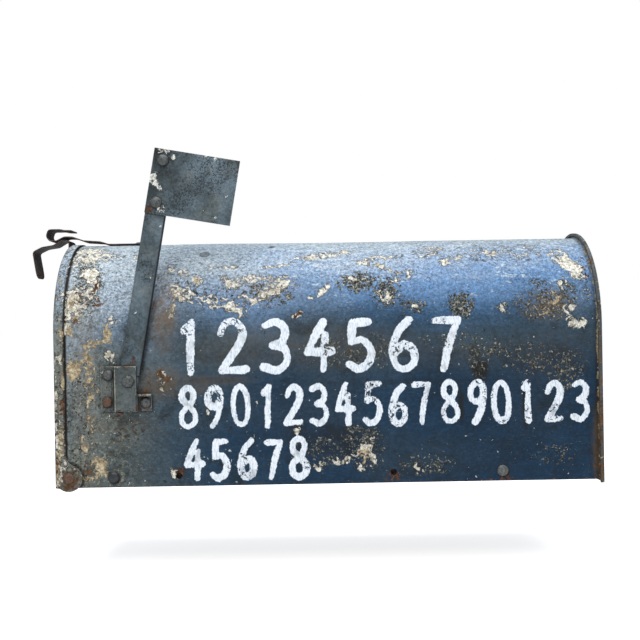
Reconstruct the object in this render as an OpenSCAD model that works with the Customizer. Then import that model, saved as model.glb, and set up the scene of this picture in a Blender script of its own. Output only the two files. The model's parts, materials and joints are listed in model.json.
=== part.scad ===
// Sheet-steel roadside mailbox with a drop-down door, a spring latch and a side flag.
// Millimetres. +X runs from the door to the rear, the flag is on the -Y side, +Z is up.
// The origin is the centre of the floor pan's underside, where the mounting board sits.

/* [Box] */
// Width across the body sheet
body_w = 165; // [150:1:190]
// Height of the body sheet, lower edge to top of dome
body_h = 218; // [205:1:250]
// Length from the door's face to the rear panel's face
box_l = 480; // [460:5:560]
// Thickness of the body, floor, door and rear sheets
sheet_t = 0.8; // [0.6:0.1:1]
// Height of the floor pan's underside over the body's lower edge
floor_lift = 20; // [18:1:26]

/* [Door] */
// Depth of the skirt that laps over the body
skirt_depth = 9.5; // [8:0.5:12]
// Gap between the skirt and the body
skirt_gap = 0.4; // [0.3:0.1:0.8]
// Radius of the hinge ears
ear_r = 12; // [11:0.5:13]
// Distance of the hinge behind the door's face
hinge_back = 11.8; // [11:0.2:13]
// Height of the hinge over the body's lower edge
hinge_up = 8.7; // [8:0.1:9.5]

/* [Rear seam] */
// How far the rear seam stands out from the body sheet
seam_proud = 4.8; // [4:0.2:6]
// Width of the rear seam's rim
seam_w = 3.4; // [3.2:0.1:4]

/* [Straps] */
// Width of the latch strip and the door strap
strap_w = 25; // [20:1:30]
// Thickness of the latch strip and the door strap
strap_t = 1.2; // [1:0.1:1.6]

/* [Flag] */
// Lean of the raised flag from the vertical, in degrees
flag_lean = 10; // [0:1:14]
// Distance from the flag's pivot to its top
flag_reach = 204; // [180:1:230]
// Width of the flag's arm
arm_w = 18; // [16:1:19]
// Thickness of the flag arm's sheet
arm_t = 1.2; // [1:0.1:1.4]
// Depth of the flag arm's channel
arm_depth = 6; // [4:0.5:6]
// Width of the flag's blade
blade_w = 75; // [60:1:90]
// Height of the flag's blade
blade_h = 57; // [45:1:70]
// Thickness of the flag's blade
blade_t = 1.2; // [0.8:0.1:1.6]
// Distance of the flag's pivot behind the door's face
pivot_back = 66; // [60:1:80]
// Height of the flag's pivot over the body's lower edge
pivot_up = 93; // [80:1:110]

/* [Fasteners] */
// Distance between the two mounting screw holes of one side
screw_spacing = 188; // [150:1:220]
// Radius of the mounting screw holes
screw_r = 2.8; // [2.2:0.1:3.2]
// Distance between the two floor rivets of one side
floor_rivet_spacing = 341; // [300:1:380]
// Radius of the large rivet heads
head_r = 5; // [4:0.1:5.4]

/* [Hidden] */
$fn = 64;

right = -1;
left = 1;
// Gap between faces that only touch, and radial clearance of the hinges
touch_gap = 0.05;
running_gap = 0.05;

// Box outline: two straight sides and a half-round dome
half_w = body_w / 2;
low_z = -floor_lift;
dome_z = low_z + body_h - half_w;
top_z = dome_z + half_w;
front_x = -box_l / 2;
rear_x = box_l / 2;
hinge_edge = 6.2;
body_front_x = front_x + hinge_back - hinge_edge;

// Rear seam
rim_r = half_w + seam_proud;
rim_front_x = rear_x - seam_w;
cap_drop = 2.5;
cap_low_z = low_z - cap_drop;
seam_play = 0.2;
flange_x = rim_front_x + sheet_t + seam_play;
flange_r = rim_r - sheet_t - seam_play / 2;
flare_r = 1.6;
lip_r = half_w + flare_r + 3 * seam_play;
cap_bend_r = sheet_t + 0.6;
cap_hem_h = 8;
cap_hem_inset = 12;

// Floor pan
pan_half_w = half_w - sheet_t - touch_gap;
pan_front_x = body_front_x + 3;
pan_rear_x = rear_x - sheet_t - seam_play;
pan_bend_r = 1.8;
pan_flange_low_z = low_z + 1.5;
pan_lip_h = 10;
pan_lip_inset = 6;

// Door
skirt_in = half_w + skirt_gap;
skirt_out = skirt_in + sheet_t;
door_bend_r = 1.8;
skirt_rear_x = front_x + skirt_depth;
hinge_x = front_x + hinge_back;
hinge_z = low_z + hinge_up;
ear_neck_z = low_z + 31;
ear_fillet_r = 14;

// Flag and its bracket
pivot_x = front_x + pivot_back;
pivot_z = low_z + pivot_up;
bracket_t = 1.6;
bracket_out = 9;
bracket_h = 39.4;
bracket_top_z = pivot_z + 13;
bracket_low_z = bracket_top_z - bracket_h;
face_left_x = pivot_x - 11.6;
face_right_x = pivot_x + 7.2;
foot_left_x = pivot_x - 25;
foot_right_x = pivot_x + 19.4;
ledge_z = pivot_z - arm_w / 2 - 2.6;
wall_y = half_w;
foot_y = wall_y + bracket_t / 2 + touch_gap;
face_y = wall_y + bracket_out - bracket_t / 2;
arm_out_y = wall_y + bracket_out - bracket_t - 0.2;
arm_flange_low = 6.5;
leaf_t = 0.8;
leaf_y = arm_out_y - arm_t - 0.15 - leaf_t / 2;
leaf_r = 5.5;
leaf_tongue_w = 4.5;
leaf_lean = 14;
leaf_hook_gap = 1.4;
leaf_hook_out = 1.6;
arm_bend_r = arm_t + 0.8;
bracket_bend_r = 2.2;
// Places of the rivets: [x, z] on the bracket, [x, z] on the upright flag from its pivot
bracket_rivets = [
    [face_left_x - 6.8, bracket_top_z - 7.6],
    [face_left_x - 7.6, bracket_low_z + 8.3],
    [face_right_x + 6.8, bracket_low_z + 7.4]
];
blade_rivets = [[-0.3, flag_reach - 9.7], [-0.3, flag_reach - 46.7]];

// Fasteners
shank_r = 2.2;
pivot_shank_r = 2.5;
bracket_head_r = 4.5;
pivot_head_r = 5.2;
strap_head_r = 4.4;
strap_head_h = 2;
hole_in_y = half_w - 4;
hole_out_y = half_w + 4;
screw_z = hinge_z + 0.5;
screw_mid_x = -38;
floor_rivet_mid_x = -18.8;
floor_rivet_z = hinge_z + 0.2;
shop_r = 3.6;
shop_h = 1.2;
head_h = 2.3;

// Spring latch and pull strap as side outlines: [x from the door's face, z from the top, bend radius]
latch_base = strap_t / 2 + touch_gap;
latch_outline = [
    [79, latch_base, 0], [35, latch_base, 8], [27, 3.2, 8], [11, 4.4, 6], [0.5, 8.2, 5],
    [-7, 8.4, 5], [-14.5, 4.6, 4], [-20.5, 4.6, 3.5], [-24, 9, 4], [-22, 15.4, 3.2],
    [-11, 15.4, 8], [-7, 14.5, 8], [-0.5, 14.3, 0]
];
strap_seat = -strap_t / 2 - touch_gap;
strap_lift = strap_seat - 1.8;
strap_outline = [
    [strap_seat, -62, 0], [strap_seat, -18, 6], [strap_lift, -10, 6], [strap_lift, 3.4, 2],
    [-5.2, 5.1, 2], [-9.5, 5.1, 3], [-17.5, 0.3, 5], [-28, -1.2, 10], [-36.8, -5.5, 3.4],
    [-32.8, -30.5, 0]
];
strap_low_z = top_z - 31;
strap_end_r = 6;
strap_rivet_z = [top_z - 28, top_z - 52];
latch_rivet_x = [front_x + 62, front_x + 73];

steel = [0.24, 0.31, 0.38];
worn = [0.42, 0.46, 0.48];
dark = [0.14, 0.11, 0.1];
rusty = [0.42, 0.24, 0.15];

// ---- helpers ----

// Points of an arc round c, from angle a0 to a1
function arc(c, r, a0, a1, n = 6) =
    [for (i = [0:n]) c + r * [cos(a0 + (a1 - a0) * i / n), sin(a0 + (a1 - a0) * i / n)]];

function unit(v) = v / norm(v);
function left_of(v) = [-v[1], v[0]];

// Centre line with its corners rounded; each corner is [x, y, radius]
function corner(p, i) =
    let (a = [p[i - 1][0], p[i - 1][1]], b = [p[i][0], p[i][1]], c = [p[i + 1][0], p[i + 1][1]],
         u = unit(a - b), v = unit(c - b), half = acos(u * v) / 2,
         back = min(p[i][2] / tan(half), norm(a - b) * 0.49, norm(c - b) * 0.49),
         steps = 5)
    [for (s = [0:steps]) let (k = s / steps)
        b + u * back * (1 - k) * (1 - k) + v * back * k * k];

function rounded(p) = [
    [p[0][0], p[0][1]],
    for (i = [1:len(p) - 2]) each corner(p, i),
    [p[len(p) - 1][0], p[len(p) - 1][1]]
];

function tangent_at(q, i) =
    i == 0 ? unit(q[1] - q[0]) :
    i == len(q) - 1 ? unit(q[i] - q[i - 1]) :
    unit(unit(q[i + 1] - q[i]) + unit(q[i] - q[i - 1]));

// Side outline of a bent strip of thickness t along the centre line q
function ribbon(q, t) = [
    for (i = [0:len(q) - 1]) q[i] + left_of(tangent_at(q, i)) * t / 2,
    for (i = [len(q) - 1:-1:0]) q[i] - left_of(tangent_at(q, i)) * t / 2
];

// Quarter ring from angle a0 to a0 + 90
module quarter_ring(r_in, r_out, a0) {
    rotate(a0) intersection() {
        difference() {
            circle(r_out);
            circle(r_in);
        }
        square(r_out + 1);
    }
}

// Strip of width strap_w bent along a side outline at the top of the door's face
module strip(outline) {
    translate([front_x, strap_w / 2, top_z]) rotate([90, 0, 0])
        linear_extrude(strap_w) polygon(ribbon(rounded(outline), strap_t));
}

// Carries a section drawn as [distance from the dome's centre line, x] round the box outline
module along_box(from_z) {
    translate([0, 0, dome_z]) rotate([90, 0, 90])
        rotate_extrude(angle = 180) children();
    for (side = [right, left])
        scale_side(side) translate([0, 0, from_z])
            mirror([1, -1, 0]) linear_extrude(dome_z - from_z) children();
}

module scale_side(side) {
    if (side == left) children();
    else mirror([0, 1, 0]) children();
}

// Plate in the shape of the box outline
module outline_plate(half, from_z, x, t) {
    translate([x, 0, 0]) rotate([90, 0, 90]) linear_extrude(t) {
        translate([0, dome_z]) circle(half, $fn = 128);
        translate([-half, from_z]) square([2 * half, dome_z - from_z]);
    }
}

// Cylinder along Y from y0 to y1 on one side
module side_pin(x, z, side, y0, y1, r) {
    translate([x, side * y0, z]) rotate([side == left ? -90 : 90, 0, 0])
        cylinder(h = y1 - y0, r = r);
}

// Dome-headed rivet along +Z: factory head above 0, shop head under -grip
module rivet(grip, r = head_r, h = head_h, shank = shank_r, shop = shop_r) {
    ball = (r * r + h * h) / (2 * h);
    rotate_extrude() {
        intersection() {
            translate([0, h - ball]) circle(ball, $fn = 96);
            square([r + 1, h + 1]);
        }
        translate([0, -grip]) square([shank, grip]);
        translate([0, -grip - shop_h]) square([shop, shop_h]);
    }
}

// Rivet on one side wall, its factory head seated at distance y from the middle
module side_rivet(x, z, side, y, grip, r = head_r, shank = shank_r) {
    translate([x, side * y, z]) rotate([side == left ? -90 : 90, 0, 0])
        rivet(grip, r = r, shank = shank);
}

// The flag turns about its pivot; it is drawn upright and leaned towards the rear
module leaned() {
    translate([pivot_x, 0, pivot_z]) rotate([0, flag_lean, 0])
        children();
}

// ---- box ----

module body_shell() {
    color(steel) difference() {
        along_box(low_z) {
            translate([half_w - sheet_t, body_front_x])
                square([sheet_t, flange_x + sheet_t - flare_r - sheet_t - body_front_x]);
            translate([half_w + flare_r, flange_x - flare_r])
                quarter_ring(flare_r, flare_r + sheet_t, 90);
            translate([half_w + flare_r, flange_x])
                square([flange_r - half_w - flare_r, sheet_t]);
        }
        for (side = [right, left]) {
            for (k = [-0.5, 0.5]) {
                side_pin(screw_mid_x + k * screw_spacing, screw_z, side, hole_in_y, hole_out_y, screw_r);
                side_pin(floor_rivet_mid_x + k * floor_rivet_spacing, floor_rivet_z, side,
                    hole_in_y, hole_out_y, shank_r);
            }
            side_pin(hinge_x, hinge_z, side, hole_in_y, hole_out_y, shank_r);
        }
        for (p = bracket_rivets)
            side_pin(p[0], p[1], right, hole_in_y, hole_out_y, shank_r);
        for (x = latch_rivet_x)
            translate([x, 0, top_z - 5]) cylinder(h = 10, r = shank_r);
    }
}

module floor_pan() {
    bend_in = pan_bend_r - sheet_t;
    color(steel) difference() {
        union() {
            translate([pan_front_x + pan_bend_r, 0, 0]) rotate([90, 0, 90])
                linear_extrude(pan_rear_x - pan_front_x - 2 * pan_bend_r) {
                    translate([-(pan_half_w - pan_bend_r), 0])
                        square([2 * (pan_half_w - pan_bend_r), sheet_t]);
                    for (m = [0, 1]) mirror([m, 0]) {
                        translate([pan_half_w - pan_bend_r, sheet_t - pan_bend_r])
                            quarter_ring(bend_in, pan_bend_r, 0);
                        translate([pan_half_w - sheet_t, pan_flange_low_z])
                            square([sheet_t, sheet_t - pan_bend_r - pan_flange_low_z]);
                    }
                }
            for (m = [0, 1])
                translate([m == 0 ? pan_front_x + pan_bend_r : pan_rear_x - pan_bend_r, 0, 0])
                    mirror([1 - m, 0, 0]) translate([0, pan_half_w - pan_lip_inset, 0]) rotate([90, 0, 0])
                        linear_extrude(2 * (pan_half_w - pan_lip_inset)) {
                            translate([0, sheet_t - pan_bend_r]) quarter_ring(bend_in, pan_bend_r, 0);
                            translate([pan_bend_r - sheet_t, -pan_lip_h])
                                square([sheet_t, pan_lip_h + sheet_t - pan_bend_r]);
                        }
        }
        for (side = [right, left]) {
            for (k = [-0.5, 0.5]) {
                side_pin(screw_mid_x + k * screw_spacing, screw_z, side, hole_in_y, hole_out_y, screw_r);
                side_pin(floor_rivet_mid_x + k * floor_rivet_spacing, floor_rivet_z, side,
                    hole_in_y, hole_out_y, shank_r);
            }
            side_pin(hinge_x, hinge_z, side, hole_in_y, hole_out_y, shank_r);
        }
    }
}

module rear_cap() {
    color(steel) {
        outline_plate(rim_r - cap_bend_r, cap_low_z, rear_x - sheet_t, sheet_t);
        along_box(cap_low_z) {
            translate([rim_r - cap_bend_r, rear_x - cap_bend_r])
                quarter_ring(cap_bend_r - sheet_t, cap_bend_r, 0);
            translate([rim_r - sheet_t, rim_front_x]) square([sheet_t, seam_w - cap_bend_r]);
            translate([lip_r, rim_front_x]) square([rim_r - lip_r, sheet_t]);
        }
        translate([rear_x - 2 * sheet_t, -half_w + cap_hem_inset, cap_low_z])
            cube([sheet_t, 2 * (half_w - cap_hem_inset), cap_hem_h]);
    }
}

module hinge_rivet(side) {
    color(rusty) side_rivet(hinge_x, hinge_z, side, skirt_out + touch_gap,
        skirt_out - half_w + 2 * sheet_t + 3 * touch_gap);
}

module floor_rivet(k, side) {
    color(worn) side_rivet(floor_rivet_mid_x + k * floor_rivet_spacing, floor_rivet_z, side,
        half_w, 2 * sheet_t + touch_gap);
}

// ---- door ----

module door_panel() {
    bend_in = door_bend_r - sheet_t;
    color(steel) difference() {
        union() {
            outline_plate(skirt_out - door_bend_r, low_z, front_x, sheet_t);
            along_box(low_z) {
                translate([skirt_out - door_bend_r, front_x + door_bend_r])
                    quarter_ring(bend_in, door_bend_r, -90);
                translate([skirt_in, front_x + door_bend_r])
                    square([sheet_t, skirt_depth - door_bend_r]);
            }
            for (side = [right, left]) scale_side(side)
                translate([0, skirt_out, 0]) rotate([90, 0, 0]) linear_extrude(sheet_t) {
                    translate([hinge_x, hinge_z]) circle(ear_r);
                    polygon(concat(
                        [[skirt_rear_x - 1, ear_neck_z]],
                        arc([skirt_rear_x + ear_fillet_r, ear_neck_z], ear_fillet_r, 180, 225),
                        [[hinge_x + ear_r * cos(45), hinge_z + ear_r * sin(45)],
                         [hinge_x, hinge_z], [hinge_x, low_z], [front_x + door_bend_r, low_z],
                         [front_x + door_bend_r, ear_neck_z]]));
                }
        }
        for (side = [right, left])
            side_pin(hinge_x, hinge_z, side, half_w, half_w + 4, shank_r + running_gap);
        for (z = strap_rivet_z)
            translate([front_x - 3, 0, z]) rotate([0, 90, 0]) cylinder(h = 6, r = shank_r);
    }
}

module door_strap() {
    color(dark) difference() {
        strip(strap_outline);
        for (z = strap_rivet_z)
            translate([front_x - 3, 0, z]) rotate([0, 90, 0]) cylinder(h = 6, r = shank_r);
        for (m = [0, 1]) mirror([0, m, 0])
            translate([front_x - 50, strap_w / 2 - strap_end_r, strap_low_z + strap_end_r])
                rotate([0, 90, 0]) difference() {
                    cube([20, 20, 40]);
                    cylinder(h = 40, r = strap_end_r);
                }
    }
}

module strap_rivet(i) {
    color(dark) translate([front_x - strap_t - touch_gap, 0, strap_rivet_z[i]])
        rotate([0, -90, 0])
            rivet(strap_t + sheet_t + touch_gap, r = strap_head_r, h = strap_head_h);
}

// ---- latch ----

module latch_strip() {
    color(dark) difference() {
        strip(latch_outline);
        for (x = latch_rivet_x)
            translate([x, 0, top_z - 5]) cylinder(h = 10, r = shank_r);
    }
}

module latch_rivet(i) {
    color(dark) translate([latch_rivet_x[i], 0, top_z + latch_base + strap_t / 2])
        rivet(strap_t + sheet_t + 3 * touch_gap, r = strap_head_r, h = strap_head_h);
}

// ---- flag ----

module flag_bracket() {
    bend = bracket_bend_r;
    left_path = [
        [foot_left_x, foot_y, 0], [face_left_x, foot_y, bend], [face_left_x, face_y, bend]
    ];
    face_path = concat(left_path, [[face_right_x, face_y, 0]]);
    full_path = concat(left_path, [
        [face_right_x, face_y, bend], [face_right_x, foot_y, bend], [foot_right_x, foot_y, 0]
    ]);
    color(worn) difference() {
        union() {
            mirror([0, 1, 0]) translate([0, 0, bracket_low_z])
                linear_extrude(ledge_z - bracket_low_z) polygon(ribbon(rounded(full_path), bracket_t));
            mirror([0, 1, 0]) translate([0, 0, ledge_z - 0.01])
                linear_extrude(bracket_top_z - ledge_z + 0.01)
                    polygon(ribbon(rounded(face_path), bracket_t));
            translate([face_right_x + bracket_t, -(arm_out_y + 0.2), ledge_z - bracket_t])
                cube([foot_right_x - face_right_x - bracket_t, arm_out_y - wall_y - 0.4, bracket_t]);
        }
        for (p = bracket_rivets)
            side_pin(p[0], p[1], right, hole_in_y, hole_out_y, shank_r);
        side_pin(pivot_x, pivot_z, right, half_w, half_w + 20, pivot_shank_r);
    }
}

module bracket_rivet(i) {
    color(i == 1 ? rusty : worn)
        side_rivet(bracket_rivets[i][0], bracket_rivets[i][1], right,
            wall_y + bracket_t + touch_gap, bracket_t + sheet_t + touch_gap, r = bracket_head_r);
}

module flag_pivot_rivet() {
    seat = wall_y + bracket_out;
    color(worn) side_rivet(pivot_x, pivot_z, right, seat,
        seat - (leaf_y - leaf_t / 2), r = pivot_head_r, shank = pivot_shank_r);
}

// The leaf hangs from the pivot rivet and hooks under the lower edge of the bracket
module flag_friction_leaf() {
    hook_z = (bracket_low_z - pivot_z - leaf_hook_gap) / cos(leaf_lean);
    leaf_path = [
        [leaf_r + 1, leaf_y, 0], [hook_z, leaf_y, 1.2], [hook_z, face_y + leaf_hook_out, 0]
    ];
    side_view = [for (q = ribbon(rounded(leaf_path), leaf_t)) [-q[1], q[0]]];
    color(rusty) difference() {
        translate([pivot_x, 0, pivot_z]) rotate([0, leaf_lean, 0]) intersection() {
            translate([-leaf_r - 1, 0, 0]) rotate([90, 0, 90])
                linear_extrude(2 * leaf_r + 2) polygon(side_view);
            translate([0, -half_w, 0]) rotate([90, 0, 0]) linear_extrude(20)
                polygon(concat(arc([0, 0], leaf_r, -20, 200, 32), [
                    [-leaf_tongue_w / 2, -16], [-leaf_tongue_w / 2, -40],
                    [leaf_tongue_w / 2, -40], [leaf_tongue_w / 2, -16]
                ]));
        }
        side_pin(pivot_x, pivot_z, right, half_w, half_w + 20, pivot_shank_r);
    }
}

// Channel with a flat rounded end at the pivot
module flag_arm() {
    bend_r = arm_bend_r;
    inner_r = bend_r - arm_t;
    color(steel) leaned() difference() {
        union() {
            translate([0, -arm_out_y, arm_flange_low]) linear_extrude(flag_reach - arm_flange_low) {
                translate([-(arm_w / 2 - bend_r), 0]) square([arm_w - 2 * bend_r, arm_t]);
                for (m = [0, 1]) mirror([m, 0]) {
                    translate([arm_w / 2 - bend_r, bend_r]) quarter_ring(inner_r, bend_r, -90);
                    translate([arm_w / 2 - arm_t, bend_r]) square([arm_t, arm_depth - bend_r]);
                }
            }
            translate([0, -(arm_out_y - arm_t), 0]) rotate([90, 0, 0]) linear_extrude(arm_t) {
                circle(arm_w / 2);
                translate([-(arm_w / 2 - bend_r), 0])
                    square([arm_w - 2 * bend_r, arm_flange_low + bend_r]);
            }
        }
        rotate([90, 0, 0]) cylinder(h = 2 * half_w, r = pivot_shank_r + running_gap);
        for (p = blade_rivets)
            translate([p[0], 0, p[1]]) rotate([90, 0, 0]) cylinder(h = 2 * half_w, r = shank_r);
    }
}

module flag_blade() {
    color(steel) leaned() difference() {
        translate([-arm_w / 2, -(arm_out_y + touch_gap), flag_reach - blade_h])
            rotate([90, 0, 0]) linear_extrude(blade_t) square([blade_w, blade_h]);
        for (p = blade_rivets)
            translate([p[0], 0, p[1]]) rotate([90, 0, 0]) cylinder(h = 2 * half_w, r = shank_r);
    }
}

module blade_rivet(i) {
    color(steel) leaned()
        translate([blade_rivets[i][0], -(arm_out_y + touch_gap + blade_t), blade_rivets[i][1]])
            rotate([90, 0, 0]) rivet(arm_t + blade_t + touch_gap);
}

body_shell();
floor_pan();
rear_cap();
door_panel();
door_strap();
strap_rivet(0);  // strap_rivet_upper
strap_rivet(1);  // strap_rivet_lower
latch_strip();
latch_rivet(0);  // latch_rivet_front
latch_rivet(1);  // latch_rivet_rear
flag_bracket();
flag_friction_leaf();
flag_pivot_rivet();
bracket_rivet(0);  // bracket_rivet_upper
bracket_rivet(1);  // bracket_rivet_lower
bracket_rivet(2);  // bracket_rivet_rear
flag_arm();
flag_blade();
blade_rivet(0);  // blade_rivet_upper
blade_rivet(1);  // blade_rivet_lower
hinge_rivet(right);  // hinge_rivet_right
hinge_rivet(left);  // hinge_rivet_left
floor_rivet(-0.5, right);  // floor_rivet_front_right
floor_rivet(0.5, right);  // floor_rivet_rear_right
floor_rivet(-0.5, left);  // floor_rivet_front_left
floor_rivet(0.5, left);  // floor_rivet_rear_left
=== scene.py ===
"""Weathered roadside mailbox: flaked paint on sheet steel, a drop door with a spring latch, a side flag.

Metres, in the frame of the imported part: +X runs from the door to the rear, +Z is up and the flag is
on the -Y side. Wear is placed by x and by the distance round the box's outline, in millimetres.
"""

import itertools
import json
import math

import bmesh
import bpy
import numpy as np
from mathutils import Matrix, Vector


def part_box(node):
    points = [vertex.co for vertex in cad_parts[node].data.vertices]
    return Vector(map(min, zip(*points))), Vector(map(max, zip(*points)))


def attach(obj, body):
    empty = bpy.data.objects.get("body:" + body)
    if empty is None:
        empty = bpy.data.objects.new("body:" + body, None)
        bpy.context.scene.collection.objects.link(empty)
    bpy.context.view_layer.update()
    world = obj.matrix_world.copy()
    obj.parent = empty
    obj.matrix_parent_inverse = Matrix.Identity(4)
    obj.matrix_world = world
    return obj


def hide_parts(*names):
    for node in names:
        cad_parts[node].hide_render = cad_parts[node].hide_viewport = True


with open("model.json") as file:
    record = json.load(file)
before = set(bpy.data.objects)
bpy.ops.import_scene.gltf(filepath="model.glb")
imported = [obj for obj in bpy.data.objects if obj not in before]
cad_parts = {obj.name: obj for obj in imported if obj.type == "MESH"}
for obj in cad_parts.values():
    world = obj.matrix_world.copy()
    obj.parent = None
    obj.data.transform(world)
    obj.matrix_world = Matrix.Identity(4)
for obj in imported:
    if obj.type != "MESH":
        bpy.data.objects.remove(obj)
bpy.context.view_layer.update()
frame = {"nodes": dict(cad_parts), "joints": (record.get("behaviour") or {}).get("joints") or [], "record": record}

# ---------------------------------------------------------------------------
# Sizes, worked out from the frame
# ---------------------------------------------------------------------------

MM = 0.001
SHEET = 0.8 * MM
joints = {joint["name"]: joint for joint in frame["joints"]}
screws = next(m for m in frame["record"]["mounts"] if m["name"] == "side_screws_right")
shell_lo, shell_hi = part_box("body_shell")
door_lo, door_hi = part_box("door_panel")
cap_lo, cap_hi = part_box("rear_cap")

HALF_W = -screws["pos_m"][1] + SHEET / 2
DOME_Z = shell_hi.z - shell_hi.y
LOW_Z = shell_lo.z
TOP_Z = DOME_Z + HALF_W
FRONT_X = door_lo.x
REAR_X = cap_hi.x
SKIRT_R = door_hi.y
SKIRT_REAR_X = FRONT_X + 9.5 * MM
SEAM_R = cap_hi.y
FLARE_R = 1.6 * MM
HINGE = Vector(joints["door_hinge"]["pos_m"])
EAR_R = HINGE.z - door_lo.z
PIVOT = Vector(joints["flag_pivot"]["pos_m"])
SCREW_Z = screws["pos_m"][2]
SCREW_R = screws["dims"]["hole_r_mm"] * MM
SCREW_XS = [screws["pos_m"][0] + k * screws["dims"]["spacing_x_mm"] * MM for k in (-0.5, 0.5)]
FLAG_LEAN = math.radians(10)
SIDES = {"right": -1, "left": 1}
RELIEF_DEPTH = 0.4 * MM


SLOT_OF = {part["node"]: part["material_slot"] for part in frame["record"]["subparts"]}
BODY_OF = {node: body for body, nodes in frame["record"]["behaviour"]["bodies"].items() for node in nodes}


def middle(node):
    """Centre of a node's box."""
    low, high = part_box(node)
    return (low + high) / 2


# ---------------------------------------------------------------------------
# Noise and outlines
# ---------------------------------------------------------------------------


def lattice(i, j, k, seed):
    """Repeatable random value from 0 to 1 for each whole-number place."""
    h = (i * 374761393 + j * 668265263 + k * 1442695041 + seed * 1274126177) & 0xFFFFFFFF
    h = ((h ^ (h >> 13)) * 1274126177) & 0xFFFFFFFF
    return ((h ^ (h >> 16)) & 0xFFFF) / 65535.0


def value_noise(points, cell, seed=0):
    """Smooth noise from -1 to 1 with features about one cell wide."""
    q = np.asarray(points, float) / cell
    base = np.floor(q).astype(np.int64)
    f = q - base
    f = f * f * (3 - 2 * f)
    total = np.zeros(len(q))
    for corner in itertools.product((0, 1), repeat=3):
        weight = np.prod(np.where(corner, f, 1 - f), axis=1)
        total += weight * lattice(*(base + np.array(corner)).T, seed)
    return total * 2 - 1


def layered_noise(points, cell, layers=3, seed=0):
    """Noise with finer and weaker layers added."""
    total = sum(value_noise(points, cell / 2**n, seed + n) / 2**n for n in range(layers))
    return total / (2 - 2 ** (1 - layers))


def unit(values):
    """Values kept between 0 and 1."""
    return np.clip(values, 0, 1)


def bell(away, width):
    """1 in the middle, falling smoothly to 0 some widths away."""
    return np.exp(-((away / width) ** 2))


def rounded(corners, steps=6):
    """Points of a bent centre line; each corner is (a, b, bend radius) in millimetres."""
    pts = [np.array(c[:2], float) for c in corners]
    line = [pts[0]]
    for (before, here, after), corner in zip(zip(pts, pts[1:], pts[2:]), corners[1:-1]):
        u, v = before - here, after - here
        lu, lv = np.linalg.norm(u), np.linalg.norm(v)
        u, v = u / lu, v / lv
        half = math.acos(float(np.clip(u @ v, -1, 1))) / 2
        back = min(corner[2] / math.tan(half), lu * 0.49, lv * 0.49)
        for k in np.linspace(0, 1, steps):
            line.append(here + u * back * (1 - k) ** 2 + v * back * k**2)
    line.append(pts[-1])
    return np.array(line)


def resampled(line, step):
    """The same line with points about one step apart."""
    lengths = np.concatenate([[0], np.cumsum(np.linalg.norm(np.diff(line, axis=0), axis=1))])
    count = max(int(lengths[-1] / step), 2)
    places = np.linspace(0, lengths[-1], count + 1)
    return np.stack([np.interp(places, lengths, line[:, a]) for a in range(line.shape[1])], axis=1)


def spaced(start, end, step, fine=(), fine_step=None, fine_reach=None):
    """Values from start to end a step apart, closer together near each fine place."""
    values = [start]
    direction = 1 if end > start else -1
    while (end - values[-1]) * direction > 1e-9:
        near = any(abs(values[-1] - place) < fine_reach for place in fine) if fine else False
        values.append(values[-1] + direction * (fine_step if near else step))
    values[-1] = end
    return values


class BoxOutline:
    """Section of the box from the lower right edge over the dome to the lower left edge."""

    def __init__(self, right_zs, dome_angles, left_zs):
        side = len(right_zs)
        angles = np.array(dome_angles)
        self.ny = np.concatenate([-np.ones(side), -np.cos(angles), np.ones(len(left_zs))])
        self.nz = np.concatenate([np.zeros(side), np.sin(angles), np.zeros(len(left_zs))])
        self.cz = np.concatenate([right_zs, np.full(len(angles), DOME_Z), left_zs])

    def grid(self, xs, radii):
        """Points at the given places along X and distances from the dome's centre line."""
        xs, radii = np.broadcast_arrays(np.asarray(xs, float), np.asarray(radii, float))
        if xs.ndim == 1:
            xs, radii = (np.tile(a, (len(self.ny), 1)) for a in (xs, radii))
        ny, nz, cz = (a[:, None] for a in (self.ny, self.nz, self.cz))
        return np.stack([xs, ny * radii, cz + nz * radii], axis=2)


def around(points):
    """Distance round the outline from the floor's level: height on the sides, arc on the dome."""
    p = np.asarray(points)
    angle = np.arctan2(p[..., 2] - DOME_Z, np.abs(p[..., 1]))
    return np.where(p[..., 2] > DOME_Z, DOME_Z + HALF_W * angle, p[..., 2])


def from_axis(points):
    """Distance from the dome's centre line, or from the middle plane below it."""
    return np.hypot(points[:, 1], unit(points[:, 2] - DOME_Z))


# ---------------------------------------------------------------------------
# Meshes
# ---------------------------------------------------------------------------


def grid_faces(rows, columns, keep=None):
    """Four-sided faces of a grid of points; keep says which points count."""
    index = np.arange(rows * columns).reshape(rows, columns)
    quads = np.stack([index[:-1, :-1], index[:-1, 1:], index[1:, 1:], index[1:, :-1]], axis=2).reshape(-1, 4)
    if keep is not None:
        quads = quads[keep.reshape(-1)[quads].all(axis=1)]
    return quads


def tube_faces(rings, around_steps):
    """Faces between closed rings of points that follow each other."""
    faces = []
    for first in range(0, (rings - 1) * around_steps, around_steps):
        for step in range(around_steps):
            a, b = first + step, first + (step + 1) % around_steps
            faces.append((a, b, b + around_steps, a + around_steps))
    return faces


def end_faces(rings, around_steps):
    """The two faces that close such a tube."""
    first = range(around_steps)
    last = range((rings - 1) * around_steps, rings * around_steps)
    return tuple(first)[::-1], tuple(last)


def place_piece(mesh, body, slot, node=None, smooth_angle=40):
    """Puts a finished mesh in the scene, on its body and in its material, in place of a CAD node."""
    piece = bpy.data.objects.new(mesh.name, mesh)
    bpy.context.scene.collection.objects.link(piece)
    mesh.materials.clear()
    mesh.materials.append(MATERIALS[slot])
    mesh.shade_smooth()
    mesh.set_sharp_from_angle(angle=math.radians(smooth_angle))
    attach(piece, body)
    if node:
        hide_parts(node)
    return piece


def new_mesh(name, points, faces):
    """Mesh from lists of points and faces."""
    mesh = bpy.data.meshes.new(name)
    mesh.from_pydata([tuple(p) for p in points], [], [tuple(int(i) for i in f) for f in faces])
    mesh.update()
    return mesh


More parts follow.
